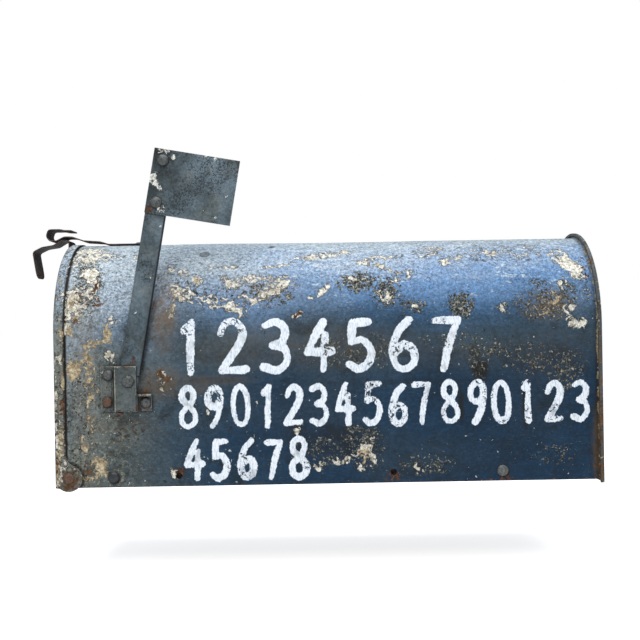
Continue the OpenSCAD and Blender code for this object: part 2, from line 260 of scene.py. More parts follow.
def weld(piece, face_out=False):
    """Joins points that lie on each other and drops what nothing uses; can turn all faces outwards."""
    work = bmesh.new()
    work.from_mesh(piece.data)
    bmesh.ops.remove_doubles(work, verts=work.verts, dist=1e-6)
    loose = [v for v in work.verts if not v.link_faces]
    bmesh.ops.delete(work, geom=loose, context="VERTS")
    if face_out:
        bmesh.ops.recalc_face_normals(work, faces=work.faces)
    work.to_mesh(piece.data)
    work.free()


def thicken(piece, thickness):
    """Gives a sheet its thickness, inwards from the modelled face; tells which points are on the inside."""
    modelled = len(piece.data.vertices)
    modifier = piece.modifiers.new("thickness", "SOLIDIFY")
    modifier.thickness = thickness
    modifier.offset = -1
    modifier.use_even_offset = True
    solid = bpy.data.meshes.new_from_object(piece.evaluated_get(bpy.context.evaluated_depsgraph_get()))
    solid.name = piece.name
    piece.modifiers.clear()
    piece.data = solid
    solid.shade_smooth()
    solid.set_sharp_from_angle(angle=math.radians(40))
    return np.arange(len(solid.vertices)) >= modelled


def paint_mask(piece, name, values):
    """Stores one number per point for the material to read."""
    attribute = piece.data.attributes.new(name, "FLOAT", "POINT")
    attribute.data.foreach_set("value", np.asarray(values, np.float32))


def mesh_points(piece):
    """Places of a mesh's points, one row each."""
    co = np.zeros(len(piece.data.vertices) * 3, np.float32)
    piece.data.vertices.foreach_get("co", co)
    return co.reshape(-1, 3).astype(float)


def dense_copy(node, body, slot, longest):
    """Copy of a CAD node cut by even planes, so that it has points enough for the masks."""
    work = bmesh.new()
    work.from_mesh(frame["nodes"][node].data)
    bmesh.ops.remove_doubles(work, verts=work.verts, dist=1e-7)
    low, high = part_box(node)
    for axis in range(3):
        across = Vector(1.0 if axis == a else 0.0 for a in range(3))
        cuts = int((high[axis] - low[axis]) / longest)
        for place in np.linspace(low[axis], high[axis], cuts + 2)[1:-1]:
            everything = [*work.verts, *work.edges, *work.faces]
            bmesh.ops.bisect_plane(work, geom=everything, dist=1e-7, plane_co=across * place, plane_no=across)
    mesh = bpy.data.meshes.new(node + "_sheet")
    work.to_mesh(mesh)
    work.free()
    if "custom_normal" in mesh.attributes:
        mesh.attributes.remove(mesh.attributes["custom_normal"])
    return place_piece(mesh, body, slot, node, smooth_angle=35)


# ---------------------------------------------------------------------------
# Wiring of materials
# ---------------------------------------------------------------------------


class Graph:
    """Short hand for adding nodes to one material or group."""

    def __init__(self, tree):
        self.tree = tree

    def feed(self, socket, value):
        """Joins a socket to another, or sets its value."""
        if isinstance(value, bpy.types.NodeSocket):
            self.tree.links.new(value, socket)
        else:
            socket.default_value = value

    def add(self, kind, inputs=None, **settings):
        """New shader node with its inputs fed and its settings made."""
        made = self.tree.nodes.new("ShaderNode" + kind)
        for key, value in settings.items():
            setattr(made, key, value)
        for key, value in (inputs or {}).items():
            self.feed(made.inputs[key], value)
        return made

    def math(self, operation, a, b=0.0, clamp=False):
        """Result of a sum on two values."""
        return self.add("Math", {0: a, 1: b}, operation=operation, use_clamp=clamp).outputs[0]

    def band(self, value, low, high, out_low=0.0, out_high=1.0):
        """Value moved from one range to another and kept inside it."""
        inputs = {"Value": value, "From Min": low, "From Max": high, "To Min": out_low, "To Max": out_high}
        return self.add("MapRange", inputs, clamp=True).outputs[0]

    def blend(self, factor, a, b, kind="MIX"):
        """Two colours mixed by a factor."""
        made = self.add("Mix", data_type="RGBA", blend_type=kind)
        for socket, value in zip((made.inputs[0], made.inputs[6], made.inputs[7]), (factor, a, b)):
            self.feed(socket, value)
        return made.outputs[2]

    def noise(self, where, scale, detail=4.0, rough=0.6, distortion=0.0):
        """Cloudy noise from 0 to 1."""
        inputs = {"Vector": where, "Scale": scale, "Detail": detail}
        inputs.update({"Roughness": rough, "Distortion": distortion})
        return self.add("TexNoise", inputs).outputs["Fac"]

    def ramp(self, value, stops):
        """Colour read from a ramp of (place, colour) stops."""
        made = self.add("ValToRGB", {"Fac": value})
        elements = made.color_ramp.elements
        for place, colour in stops[2:]:
            elements.new(place)
        for element, (place, colour) in zip(elements, sorted(stops)):
            element.position = place
        for element, (place, colour) in zip(elements, sorted(stops)):
            element.color = (*colour, 1)
        return made.outputs["Color"]

    def mask(self, name):
        """One of the masks stored on the mesh."""
        return self.add("Attribute", attribute_name=name).outputs["Fac"]


def new_group(name, inputs, outputs):
    """Empty shader group with the named sockets; returns it with its graph and its two ends."""
    group = bpy.data.node_groups.new(name, "ShaderNodeTree")
    for socket, kind, value in inputs:
        made = group.interface.new_socket(socket, in_out="INPUT", socket_type="NodeSocket" + kind)
        if value is not None:
            made.default_value = value
    for socket, kind in outputs:
        group.interface.new_socket(socket, in_out="OUTPUT", socket_type="NodeSocket" + kind)
    graph = Graph(group)
    start = group.nodes.new("NodeGroupInput").outputs
    end = group.nodes.new("NodeGroupOutput").inputs
    return group, graph, start, end


def flake_group():
    """Ragged edge of a flaked patch: a soft field goes in, a crisp broken mask comes out."""
    sockets = [("Vector", "Vector", None), ("Field", "Float", 0.0)]
    sockets += [("Scale", "Float", 160.0), ("Raggedness", "Float", 1.0)]
    group, g, start, end = new_group("ragged_flakes", sockets, [("Mask", "Float"), ("Rim", "Float")])
    coarse = g.noise(start["Vector"], g.math("MULTIPLY", start["Scale"], 0.72), 6, 0.62, 1.1)
    finer = g.math("MULTIPLY", start["Scale"], 2.5)
    push = g.add("TexNoise", {"Vector": start["Vector"], "Scale": finer})
    shift = g.add("VectorMath", {0: push.outputs["Color"], "Scale": 0.0035}, operation="SCALE").outputs[0]
    bent = g.add("VectorMath", {0: start["Vector"], 1: shift}, operation="ADD").outputs[0]
    cells = g.add("TexVoronoi", {"Vector": bent, "Scale": g.math("MULTIPLY", start["Scale"], 1.9)})
    chip = g.add("SeparateColor", {"Color": cells.outputs["Color"]}).outputs[0]
    both = g.math("ADD", g.math("MULTIPLY", coarse, 0.93), g.math("MULTIPLY", chip, 0.07))
    spread = g.math("MULTIPLY", g.math("SUBTRACT", both, 0.5), g.math("MULTIPLY", start["Raggedness"], 3.0))
    level = g.math("MINIMUM", g.math("ADD", start["Field"], spread), g.math("MULTIPLY", start["Field"], 3.0))
    g.feed(end["Mask"], g.band(level, 0.48, 0.52))
    rise, fall = g.band(level, 0.3, 0.44), g.band(level, 0.54, 0.62)
    g.feed(end["Rim"], g.math("SUBTRACT", rise, fall, clamp=True))
    return group


def rust_group():
    """Rust colours from dark brown through orange, with its own grain."""
    sockets = [("Vector", "Vector", None), ("Scale", "Float", 300.0)]
    group, g, start, end = new_group("rust_bloom", sockets, [("Color", "Color"), ("Height", "Float")])
    grain = g.noise(start["Vector"], start["Scale"], 6, 0.7)
    cloud = g.noise(start["Vector"], g.math("MULTIPLY", start["Scale"], 0.2), 3, 0.6)
    level = g.math("ADD", g.math("MULTIPLY", grain, 0.6), g.math("MULTIPLY", cloud, 0.4))
    stops = [
        (0.3, (0.012, 0.006, 0.004)), (0.7, (0.36, 0.19, 0.085)), (0.45, (0.05, 0.023, 0.013)),
        (0.57, (0.16, 0.068, 0.03)),
    ]
    g.feed(end["Color"], g.ramp(level, stops))
    g.feed(end["Height"], level)
    return group


def specks_group():
    """Scattered small chips of uneven shape; Density runs from none to many."""
    sockets = [("Vector", "Vector", None), ("Scale", "Float", 400.0), ("Density", "Float", 0.1)]
    group, g, start, end = new_group("small_chips", sockets, [("Mask", "Float")])
    peaks = g.noise(start["Vector"], start["Scale"], 3, 0.55, 0.6)
    limit = g.math("SUBTRACT", 0.8, start["Density"])
    g.feed(end["Mask"], g.band(g.math("SUBTRACT", peaks, limit), 0.0, 0.012))
    return group


def crevice_group():
    """Mask that is high where faces crowd together."""
    group, g, start, end = new_group("crevices", [("Reach", "Float", 5 * MM)], [("Mask", "Float")])
    clear = g.add("AmbientOcclusion", {"Distance": start["Reach"]}, samples=6).outputs["AO"]
    g.feed(end["Mask"], g.band(clear, 0.93, 0.35))
    return group


def edge_group():
    """Mask that is high along outside edges."""
    group, g, start, end = new_group("rubbed_edges", [("Radius", "Float", 0.5 * MM)], [("Mask", "Float")])
    soft = g.add("Bevel", {"Radius": start["Radius"]}, samples=4).outputs[0]
    true = g.add("NewGeometry").outputs["Normal"]
    dot = g.add("VectorMath", {0: soft, 1: true}, operation="DOT_PRODUCT").outputs["Value"]
    g.feed(end["Mask"], g.band(dot, 0.99, 0.9))
    return group


GROUPS = {
    "flakes": flake_group(),
    "rust": rust_group(),
    "specks": specks_group(),
    "crevices": crevice_group(),
    "edges": edge_group(),
}


def use_group(graph, name, inputs):
    """Places a shader group in a material and feeds its inputs; returns its outputs."""
    made = graph.tree.nodes.new("ShaderNodeGroup")
    made.node_tree = GROUPS[name]
    for key, value in inputs.items():
        graph.feed(made.inputs[key], value)
    return made.outputs


def new_material(name):
    """Material with a Principled surface; returns it with its graph, shader and coordinates."""
    material = bpy.data.materials.new(name)
    material.use_nodes = True
    graph = Graph(material.node_tree)
    shader = material.node_tree.nodes["Principled BSDF"]
    where = graph.add("TexCoord").outputs["Object"]
    return material, graph, shader, where


def finish_surface(graph, shader, colour, roughness, height, bump):
    """Joins the colour, roughness and relief of a material to its shader."""
    graph.feed(shader.inputs["Base Color"], colour)
    graph.feed(shader.inputs["Roughness"], roughness)
    relief = graph.add("Bump", {"Height": height, "Strength": bump, "Distance": RELIEF_DEPTH})
    graph.feed(shader.inputs["Normal"], relief.outputs["Normal"])


# Colours of paint, dirt and bare metal
PIT_DARK = (0.012, 0.014, 0.016, 1)
OLIVE_DIRT = (0.04, 0.04, 0.028, 1)
PALE_DUST = (0.4, 0.37, 0.26, 1)
GREASE = (0.008, 0.012, 0.014, 1)
WHITE_SCUFF = (0.5, 0.55, 0.58, 1)
GRIME_AND_SHADE_DARK = (0.012, 0.011, 0.01, 1)
FLAKE_SHADOW = (0.016, 0.017, 0.016, 1)
PRIMER_EDGE = (0.1, 0.085, 0.06, 1)
RUST_WASH = (0.15, 0.095, 0.045, 1)
PALE_CHIP = (0.52, 0.52, 0.47, 1)
CREVICE_SHADE_AND_DIRT = (0.016, 0.013, 0.01, 1)
PAINT_STOPS = [
    (0.0, (0.004, 0.016, 0.033)), (1.0, (0.27, 0.34, 0.43)), (0.22, (0.007, 0.028, 0.058)),
    (0.42, (0.018, 0.047, 0.082)), (0.6, (0.037, 0.09, 0.17)), (0.8, (0.1, 0.2, 0.36)),
]
WARM_STOPS = [
    (0.0, (0.022, 0.027, 0.028)), (1.0, (0.35, 0.4, 0.42)), (0.3, (0.05, 0.064, 0.066)),
    (0.45, (0.085, 0.107, 0.105)), (0.65, (0.165, 0.183, 0.165)), (0.85, (0.27, 0.3, 0.295)),
]
SPECKLE_STOPS = [
    (0.38, (0.006, 0.007, 0.006)), (0.66, (0.7, 0.69, 0.6)), (0.49, (0.035, 0.039, 0.036)),
    (0.57, (0.17, 0.17, 0.14)),
]
PRIMER_STOPS = [
    (0.34, (0.05, 0.045, 0.036)), (0.64, (0.9, 0.88, 0.81)), (0.43, (0.32, 0.29, 0.23)),
    (0.52, (0.68, 0.65, 0.56)),
]
OCHRE_STOPS = [(0.32, (0.07, 0.055, 0.035)), (0.66, (0.68, 0.58, 0.4)), (0.48, (0.3, 0.235, 0.14))]


def stretched(g, where, scale):
    """The same coordinates, stretched along the axes."""
    return g.add("Mapping", {"Vector": where, "Scale": scale}).outputs[0]


def faded_paint(g, where, cloud, fine):
    """Slate-blue paint whose tone follows the fading and a painted lightening towards the top, as painted light
    from above; with grain, pits, dirt and greasy smudges.
    """
    warm, scuffed = g.mask("warm"), g.mask("scuff")
    streaks = g.noise(stretched(g, where, (9, 60, 60)), 3.0, 6, 0.65)
    mottle = g.math("ADD", g.math("MULTIPLY", cloud, 0.55), g.math("MULTIPLY", streaks, 0.45))
    unevenness = g.math("MULTIPLY", g.math("SUBTRACT", mottle, 0.5), 0.42)
    # Tone from the fading, plus painted light from above that makes the paint lighter towards the top.
    tone = g.math("ADD", g.mask("fade"), unevenness, clamp=True)
    paint = g.blend(warm, g.ramp(tone, PAINT_STOPS), g.ramp(tone, WARM_STOPS))
    grain = g.ramp(fine, [(0.32, (0.12,) * 3), (0.68, (2.1,) * 3), (0.5, (0.94,) * 3)])
    paint = g.blend(g.band(scuffed, 0, 0.6, 0.35, 1.0), paint, grain, "MULTIPLY")
    density = g.band(scuffed, 0, 1, 0.13, 0.15)
    pits = use_group(g, "specks", {"Vector": where, "Scale": 330.0, "Density": density})
    paint = g.blend(g.math("MULTIPLY", pits["Mask"], 0.8), paint, PIT_DARK)

    dirt = g.band(g.noise(where, 190, 6, 0.78), 0.5, 0.61)
    dirty = g.math("MULTIPLY", warm, g.band(g.mask("frost"), 0.1, 0.9, 0.85, 0.3))
    paint = g.blend(g.math("MULTIPLY", dirt, dirty), paint, OLIVE_DIRT)
    dust = g.band(g.noise(where, 240, 6, 0.78, 0.3), 0.54, 0.64)
    paint = g.blend(g.math("MULTIPLY", dust, g.band(warm, 0.7, 1.0, 0.0, 0.75)), paint, PALE_DUST)
    smudge = g.band(g.noise(where, 34, 6, 0.74, 0.5), 0.52, 0.68)
    low_down = g.math("MULTIPLY", g.band(g.mask("frost"), 0.3, 0.0), 0.72)
    return g.blend(g.math("MULTIPLY", smudge, low_down), paint, GREASE)


def whitened_top(g, where, paint):
    """Scuffs and frosting that whiten the weathered roof, drawn out along the box."""
    long_way = stretched(g, where, (0.35, 1, 1))
    scuff = g.band(g.noise(long_way, 620, 5, 0.8), 0.55, 0.68)
    paint = g.blend(g.math("MULTIPLY", scuff, g.mask("scuff")), paint, WHITE_SCUFF)
    level = g.math("ADD", g.noise(long_way, 240, 6, 0.75, 0.8), g.math("MULTIPLY", g.mask("frost"), 0.16))
    frost = g.band(level, 0.66, 0.72)
    tone = g.ramp(g.noise(where, 520, 4, 0.75), [(0.36, (0.12, 0.17, 0.22)), (0.6, (0.66, 0.72, 0.74))])
    return g.blend(g.math("MULTIPLY", frost, 0.85), paint, tone)


def filled_hole(g, where, paint, cloud):
    """Flush round spot of filler with a dark line round it."""
    plug = g.math("ADD", g.mask("plug"), g.math("MULTIPLY", g.math("SUBTRACT", cloud, 0.5), 1.5))
    filler = g.ramp(g.noise(where, 520, 5, 0.75), [(0.35, (0.06, 0.07, 0.075)), (0.65, (0.26, 0.3, 0.32))])
    outline = g.math("MULTIPLY", g.band(plug, -1.0, -0.3), g.band(plug, 0.7, 0.1))
    paint = g.blend(g.band(plug, -0.3, 0.2), paint, filler)
    return g.blend(g.math("MULTIPLY", outline, 0.7), paint, (0.03, 0.033, 0.036, 1))


def flaked_to_primer(g, where, colour):
    """Dark stains with painted shadow lines and rings, worn speckle, cream primer and tan undercoat; returns the
    colour and the bare mask.
    """
    unsettled = g.math("SUBTRACT", g.noise(where, 300, 5, 0.75), 0.5)
    # Dark stains, and painted shadow where the mask carries it.
    stain_and_shade = g.band(g.math("ADD", g.mask("grime_and_shade"), unsettled), 0.35, 0.95)
    colour = g.blend(stain_and_shade, colour, GRIME_AND_SHADE_DARK)
    worn = {"Vector": where, "Field": g.mask("worn"), "Scale": 330.0, "Raggedness": 1.15}
    worn = use_group(g, "flakes", worn)["Mask"]
    colour = g.blend(worn, colour, g.ramp(g.noise(where, 500, 5, 0.82), SPECKLE_STOPS))

    flaked = {"Vector": where, "Field": g.mask("flake"), "Scale": 190.0, "Raggedness": 1.12}
    flaked = use_group(g, "flakes", flaked)
    ochre = g.ramp(g.noise(where, 380, 5, 0.75), OCHRE_STOPS)
    colour = g.blend(g.math("MULTIPLY", flaked["Rim"], 0.85), colour, FLAKE_SHADOW)
    primer = g.ramp(g.noise(where, 430, 6, 0.82), PRIMER_STOPS)
    primer = g.blend(g.band(g.noise(where, 110, 4, 0.65), 0.52, 0.66, 0.0, 0.6), primer, ochre)
    primer = g.blend(g.math("MULTIPLY", flaked["Rim"], 0.45), primer, PRIMER_EDGE)
    colour = g.blend(flaked["Mask"], colour, primer)
    tan = {"Vector": where, "Field": g.mask("tan"), "Scale": 210.0, "Raggedness": 1.1}
    tan = use_group(g, "flakes", tan)["Mask"]
    colour = g.blend(tan, colour, ochre)
    return colour, g.math("MAXIMUM", flaked["Mask"], g.math("MAXIMUM", worn, tan))


def brushed_numbers(g, where, colour):
    """White brushed numbers, dry in places; returns the colour and the mask of the white."""
    ragged = g.math("MULTIPLY", g.math("SUBTRACT", g.noise(where, 480, 5, 0.75), 0.5), 3.4)
    stroke = g.band(g.math("ADD", g.mask("numbers"), ragged), -0.1, 0.2)
    dry = {"Vector": where, "Field": g.mask("dry"), "Scale": 420.0, "Raggedness": 1.3}
    dry = use_group(g, "flakes", dry)["Mask"]
    inked = g.math("MULTIPLY", stroke, g.math("SUBTRACT", 1.0, dry, clamp=True))
    bristles = g.noise(stretched(g, where, (3.2, 1, 0.8)), 330, 4, 0.7)
    white = g.ramp(bristles, [(0.32, (0.42, 0.52, 0.62)), (0.52, (0.82, 0.85, 0.88))])
    thin = g.band(g.noise(where, 62, 3, 0.6), 0.3, 0.42, 0.62, 1.0)
    return g.blend(g.math("MULTIPLY", inked, thin), colour, white), inked


def shade_and_dirt_in_crevices(g, colour, reach):
    """Colour with painted shade and old dirt where faces crowd together."""
    crowded = use_group(g, "crevices", {"Reach": reach})["Mask"]
    return g.blend(g.math("MULTIPLY", crowded, 0.9), colour, CREVICE_SHADE_AND_DIRT)


def aged_paint():
    """Slate-blue paint on sheet steel, faded and painted lighter upwards as painted light from above, flaked to
    cream primer, worn, rusted and numbered, with painted shade in crevices and gaps.
    """
    material, g, shader, where = new_material("aged_paint")
    cloud = g.noise(where, 26, 5, 0.62)
    fine = g.noise(where, 430, 5, 0.8)
    colour = whitened_top(g, where, faded_paint(g, where, cloud, fine))
    colour = filled_hole(g, where, colour, cloud)
    colour, bare = flaked_to_primer(g, where, colour)

    bloom = use_group(g, "rust", {"Vector": where, "Scale": 360.0})
    rusty = {"Vector": where, "Field": g.mask("rust"), "Scale": 240.0, "Raggedness": 1.1}
    rusty = use_group(g, "flakes", rusty)["Mask"]
    colour = g.blend(rusty, colour, bloom["Color"])
    wash = g.math("MULTIPLY", g.mask("wash"), g.band(g.noise(where, 90, 5, 0.7), 0.25, 0.7), clamp=True)
    colour = g.blend(g.math("MULTIPLY", wash, 0.75), colour, RUST_WASH)

    colour, inked = brushed_numbers(g, where, colour)
    chips = use_group(g, "specks", {"Vector": where, "Scale": 260.0, "Density": g.mask("chips")})
    colour = g.blend(chips["Mask"], colour, PALE_CHIP)
    colour = shade_and_dirt_in_crevices(g, colour, 5 * MM)

    dull = g.math("MULTIPLY", g.math("MAXIMUM", bare, rusty), 0.85)
    rough = g.math("MAXIMUM", g.band(fine, 0.3, 0.7, 0.42, 0.62), dull)
    height = g.math("SUBTRACT", g.math("MULTIPLY", inked, 0.55), g.math("MULTIPLY", bare, 1.1))
    height = g.math("ADD", height, g.math("MULTIPLY", g.noise(where, 1300, 4, 0.75), 0.45))
    blisters = g.math("MULTIPLY", g.math("MULTIPLY", rusty, bloom["Height"]), 1.2)
    finish_surface(g, shader, colour, rough, g.math("ADD", height, blisters), 0.7)
    shader.inputs["Specular IOR Level"].default_value = 0.2
    return material


FLAG_STOPS = [
    (0.34, (0.007, 0.01, 0.011)), (0.66, (0.14, 0.185, 0.215)), (0.43, (0.026, 0.038, 0.042)),
    (0.53, (0.064, 0.09, 0.104)),
]
OLIVE_STOPS = [
    (0.34, (0.012, 0.013, 0.011)), (0.66, (0.2, 0.2, 0.17)), (0.43, (0.042, 0.048, 0.042)),
    (0.53, (0.095, 0.106, 0.095)),
]


def flag_paint():
    """Pitted grey-blue paint with rubbed edges, a few chips, painted shade on dark edges and round rivets, and
    pale edge lines that are partly painted highlight.
    """
    material, g, shader, where = new_material("flag_paint")
    cloud = g.noise(where, 30, 5, 0.62, 0.4)
    fine = g.noise(where, 420, 6, 0.78)
    level = g.math("ADD", g.math("MULTIPLY", cloud, 0.64), g.math("MULTIPLY", fine, 0.36))
    level = g.math("ADD", level, g.band(g.mask("gloom"), 0, 1, 0.02, -0.07))
    dull = g.math("ADD", g.mask("dull"), g.band(g.noise(where, 42, 3, 0.6), 0.5, 0.66, 0, 0.5), clamp=True)
    paint = g.blend(dull, g.ramp(level, FLAG_STOPS), g.ramp(level, OLIVE_STOPS))
    pitted = g.band(g.noise(where, 38, 3, 0.55), 0.44, 0.6, 0.3, 0.45)
    pits = g.band(g.math("SUBTRACT", g.noise(where, 700, 4, 0.7), pitted), 0.04, -0.01)
    colour = g.blend(g.math("MULTIPLY", pits, 0.7), paint, (0.006, 0.007, 0.007, 1))
    # Painted shade: near-black along the arm's rear edge, round the rivets and along the bracket's outlines.
    colour = g.blend(g.math("MULTIPLY", g.mask("shade"), 0.9), colour, (0.006, 0.005, 0.005, 1))
    # Pale lines along the bracket's edges: partly rubbed to primer, partly painted highlight.
    broken = g.math("MULTIPLY", g.math("SUBTRACT", fine, 0.5), 2.6)
    line = g.band(g.math("ADD", g.mask("line"), broken), 0.5, 0.8)
    colour = g.blend(g.math("MULTIPLY", line, 0.85), colour, (0.36, 0.35, 0.27, 1))
    edges = use_group(g, "edges", {"Radius": 0.9 * MM})["Mask"]
    rubbed = g.math("MULTIPLY", edges, g.band(fine, 0.38, 0.56))
    rubbed = g.math("MULTIPLY", rubbed, g.band(g.mask("dull"), 0, 1, 0.45, 0.95))
    colour = g.blend(rubbed, colour, (0.4, 0.4, 0.34, 1))
    flakes = use_group(g, "flakes", {"Vector": where, "Field": g.mask("flake"), "Scale": 330.0})
    primer = g.ramp(g.noise(where, 700, 4, 0.7), [(0.35, (0.25, 0.24, 0.2)), (0.6, (0.8, 0.79, 0.72))])
    colour = g.blend(flakes["Mask"], colour, primer)
    bloom = use_group(g, "rust", {"Vector": where, "Scale": 420.0})
    rusty = {"Vector": where, "Field": g.mask("rust"), "Scale": 330.0, "Raggedness": 1.1}
    rusty = use_group(g, "flakes", rusty)["Mask"]
    colour = g.blend(rusty, colour, bloom["Color"])
    chips = use_group(g, "specks", {"Vector": where, "Scale": 330.0, "Density": 0.03})
    colour = g.blend(chips["Mask"], colour, (0.4, 0.41, 0.38, 1))
    colour = shade_and_dirt_in_crevices(g, colour, 5 * MM)
    height = g.math("SUBTRACT", fine, g.math("MULTIPLY", pits, 0.7))
    height = g.math("ADD", height, g.math("MULTIPLY", rusty, bloom["Height"]))
    finish_surface(g, shader, colour, g.band(fine, 0.3, 0.7, 0.45, 0.7), height, 0.8)
    shader.inputs["Specular IOR Level"].default_value = 0.35
    return material


def strap_steel():
    """Blackened steel strip, rust-brown in places, rubbed bright on its edges."""
    material, g, shader, where = new_material("strap_steel")
    fine = g.noise(where, 480, 5, 0.75)
    dark = g.ramp(fine, [(0.35, (0.006, 0.004, 0.003)), (0.68, (0.06, 0.035, 0.022))])
    bloom = use_group(g, "rust", {"Vector": where, "Scale": 380.0})
    rusty = {"Vector": where, "Field": g.mask("rust"), "Scale": 200.0, "Raggedness": 1.3}
    rusty = use_group(g, "flakes", rusty)["Mask"]
    colour = g.blend(g.math("MULTIPLY", rusty, 0.75), dark, bloom["Color"])
    edges = use_group(g, "edges", {"Radius": 0.5 * MM})["Mask"]
    rubbed = g.math("MULTIPLY", edges, g.band(g.noise(where, 260, 4, 0.7), 0.42, 0.58))
    colour = g.blend(g.math("MULTIPLY", rubbed, 0.7), colour, (0.2, 0.19, 0.17, 1))
    finish_surface(g, shader, colour, g.band(fine, 0.3, 0.7, 0.5, 0.8), fine, 0.5)
    return material


def rivet_finish(name, low, high, rust_amount, shine):
    """Hammered rivet heads: worn paint or rust, darker round the rim, with painted shade and dirt where faces
    crowd together.
    """
    material, g, shader, where = new_material(name)
    fine = g.noise(where, 620, 5, 0.75)
    paint = g.ramp(fine, [(0.34, low), (0.66, high)])
    bloom = use_group(g, "rust", {"Vector": where, "Scale": 520.0})
    rusty = g.band(g.noise(where, 300, 4, 0.7), 0.62 - rust_amount, 0.68 - rust_amount)
    colour = g.blend(g.math("MULTIPLY", rusty, 0.8), paint, bloom["Color"])
    colour = g.blend(g.math("MULTIPLY", g.mask("rim"), 0.85), colour, (0.02, 0.017, 0.014, 1))
    colour = g.blend(g.math("MULTIPLY", g.mask("dark"), 0.85), colour, (0.008, 0.011, 0.013, 1))
    chips = use_group(g, "specks", {"Vector": where, "Scale": 420.0, "Density": 0.07})
    unrusted = g.math("SUBTRACT", 1.0, rusty, clamp=True)
    colour = g.blend(g.math("MULTIPLY", chips["Mask"], unrusted), colour, (0.6, 0.6, 0.55, 1))
    colour = shade_and_dirt_in_crevices(g, colour, 3 * MM)
    finish_surface(g, shader, colour, g.band(fine, 0.3, 0.7, 0.62 - shine, 0.8 - shine), fine, 0.6)
    return material


MATERIALS = {
    "body_paint": aged_paint(),
    "flag_paint": flag_paint(),
    "strap_steel": strap_steel(),
    "painted_rivet": rivet_finish(
        "painted_rivet", low=(0.01, 0.012, 0.013), high=(0.17, 0.183, 0.17), rust_amount=0.03, shine=0.3
    ),
    "rusty_rivet": rivet_finish(
        "rusty_rivet", low=(0.03, 0.017, 0.012), high=(0.25, 0.115, 0.05), rust_amount=0.14, shine=0.1
    ),
}

# ---------------------------------------------------------------------------
# Wear of the box, placed one by one
# ---------------------------------------------------------------------------


def patches(points, spots):
    """Soft field over the box; a spot is (x, round, half length, half width, tilt in degrees, strength)."""
    x, s = points[:, 0] / MM, around(points) / MM
    field = np.zeros(len(points))
    for px, ps, along, across, tilt, strength in spots:
        turn = math.radians(tilt)
        u = (x - px) * math.cos(turn) + (s - ps) * math.sin(turn)
        v = (s - ps) * math.cos(turn) - (x - px) * math.sin(turn)
        distance = np.sqrt((u / along) ** 2 + (v / across) ** 2)
        field = np.maximum(field, strength * unit(1.6 - distance))
    return field


CREAM = [
    (-217, 203, 14, 20, 0, 0.72), (-211, 172, 8, 8, 0, 0.85), (-224, 140, 9, 15, 0, 0.72),
    (-213, 148, 8, 14, 0, 0.5), (-206, 157, 5, 16, -12, 0.55), (-200, 200, 14, 10, 0, 0.36),
    (-190, 126, 5, 5, 0, 0.5), (-191, 94, 4, 7, 20, 0.72), (-228, 119, 4, 6, 0, 0.6),
    (-139, 177, 4, 7, -20, 0.62), (-150, 171, 3, 6, 0, 0.6), (-129, 171, 5, 5, 0, 0.62),
    (-116, 165, 5, 6, 30, 0.7), (-128, 150, 13, 7, -20, 0.6), (-136, 135, 3, 9, -10, 0.66),
    (-85, 160, 8, 6, -25, 0.66), (-95, 141, 17, 6, -10, 0.56), (-78, 134, 8, 8, 0, 0.6),
    (-94, 178, 16, 2, 3, 0.6), (-64, 165, 14, 3.5, 5, 0.78), (-42, 156, 13, 8, 20, 0.55),
    (-54, 149, 9, 5, 20, 0.66), (-68, 143, 10, 5, -10, 0.6), (-2, 194, 26, 5, 14, 0.58),
    (-44, 179, 10, 2.5, 4, 0.66), (-4, 150, 8, 3.5, 45, 0.76), (-14, 144, 3, 2, 0, 0.7),
    (46, 187, 19, 4, 12, 0.62), (42, 179, 15, 3.5, -18, 0.64), (68, 165, 13, 7, 0, 0.44),
    (28, 163, 13, 4, 5, 0.42), (52, 144, 8, 5, -30, 0.5), (80, 133, 7, 4, -30, 0.55),
    (112, 182, 12, 5, 25, 0.56), (96, 199, 16, 10, 10, 0.4), (217, 176, 7.5, 18, 32, 0.85),
    (210, 190, 8, 7, 0, 0.55), (155, 132, 4, 4, 0, 0.6), (213, 129, 5, 9, -20, 0.55),
    (221, 116, 8, 5, 0, 0.58), (210, 154, 5, 5, 0, 0.5), (228, 144, 4, 6, 0, 0.5), (32, 7, 6, 17, -24, 0.5),
    (39, 1, 4, 7, 0, 0.6), (11, 1, 11, 4, 6, 0.5), (-9, -5, 6, 5, 0, 0.42), (-28, 27, 2.5, 3.5, 0, 0.66),
    (-26, 129, 5, 3, 30, 0.6), (-143, 72, 7, 8, 40, 0.46), (-136, -9, 4.5, 4.5, 0, 0.7),
    (-176, 29, 20, 14, 0, 0.16), (84, -7, 10, 4, -10, 0.4), (-106, 51, 1.5, 9, 0, 0.62),
    (160, 195, 40, 14, 0, 0.3), (-165, 198, 12, 10, 0, 0.3),
]
TAN = [
    (-223, 83, 5, 6.8, 0, 1.4), (237.4, 110, 1.5, 150, 0, 0.62), (-193, 117, 4, 12, -6, 0.62),
    (-203, 106, 11, 3.5, 8, 0.66), (-210, 84, 4.5, 20, 4, 0.58), (-208, 46, 3, 26, 2, 0.5),
    (-214, 19, 3, 8, 0, 0.5), (-200, -1, 6, 10, 8, 0.85), (-224, 135, 8, 14, 0, 0.42),
    (-206, 64, 5, 5, 0, 0.5), (-189, 68, 3, 2.5, 0, 0.6), (194, 127, 7, 6, 0, 0.42),
    (196, 139, 12, 8, 0, 0.3), (-116, 164, 3, 5, 30, 0.5), (-136, 138, 3, 12, 0, 0.4),
    (30, 4, 5, 12, -24, 0.44), (-212, -12, 10, 3, 0, 0.46), (-226, 115, 3, 5, 0, 0.5),
]
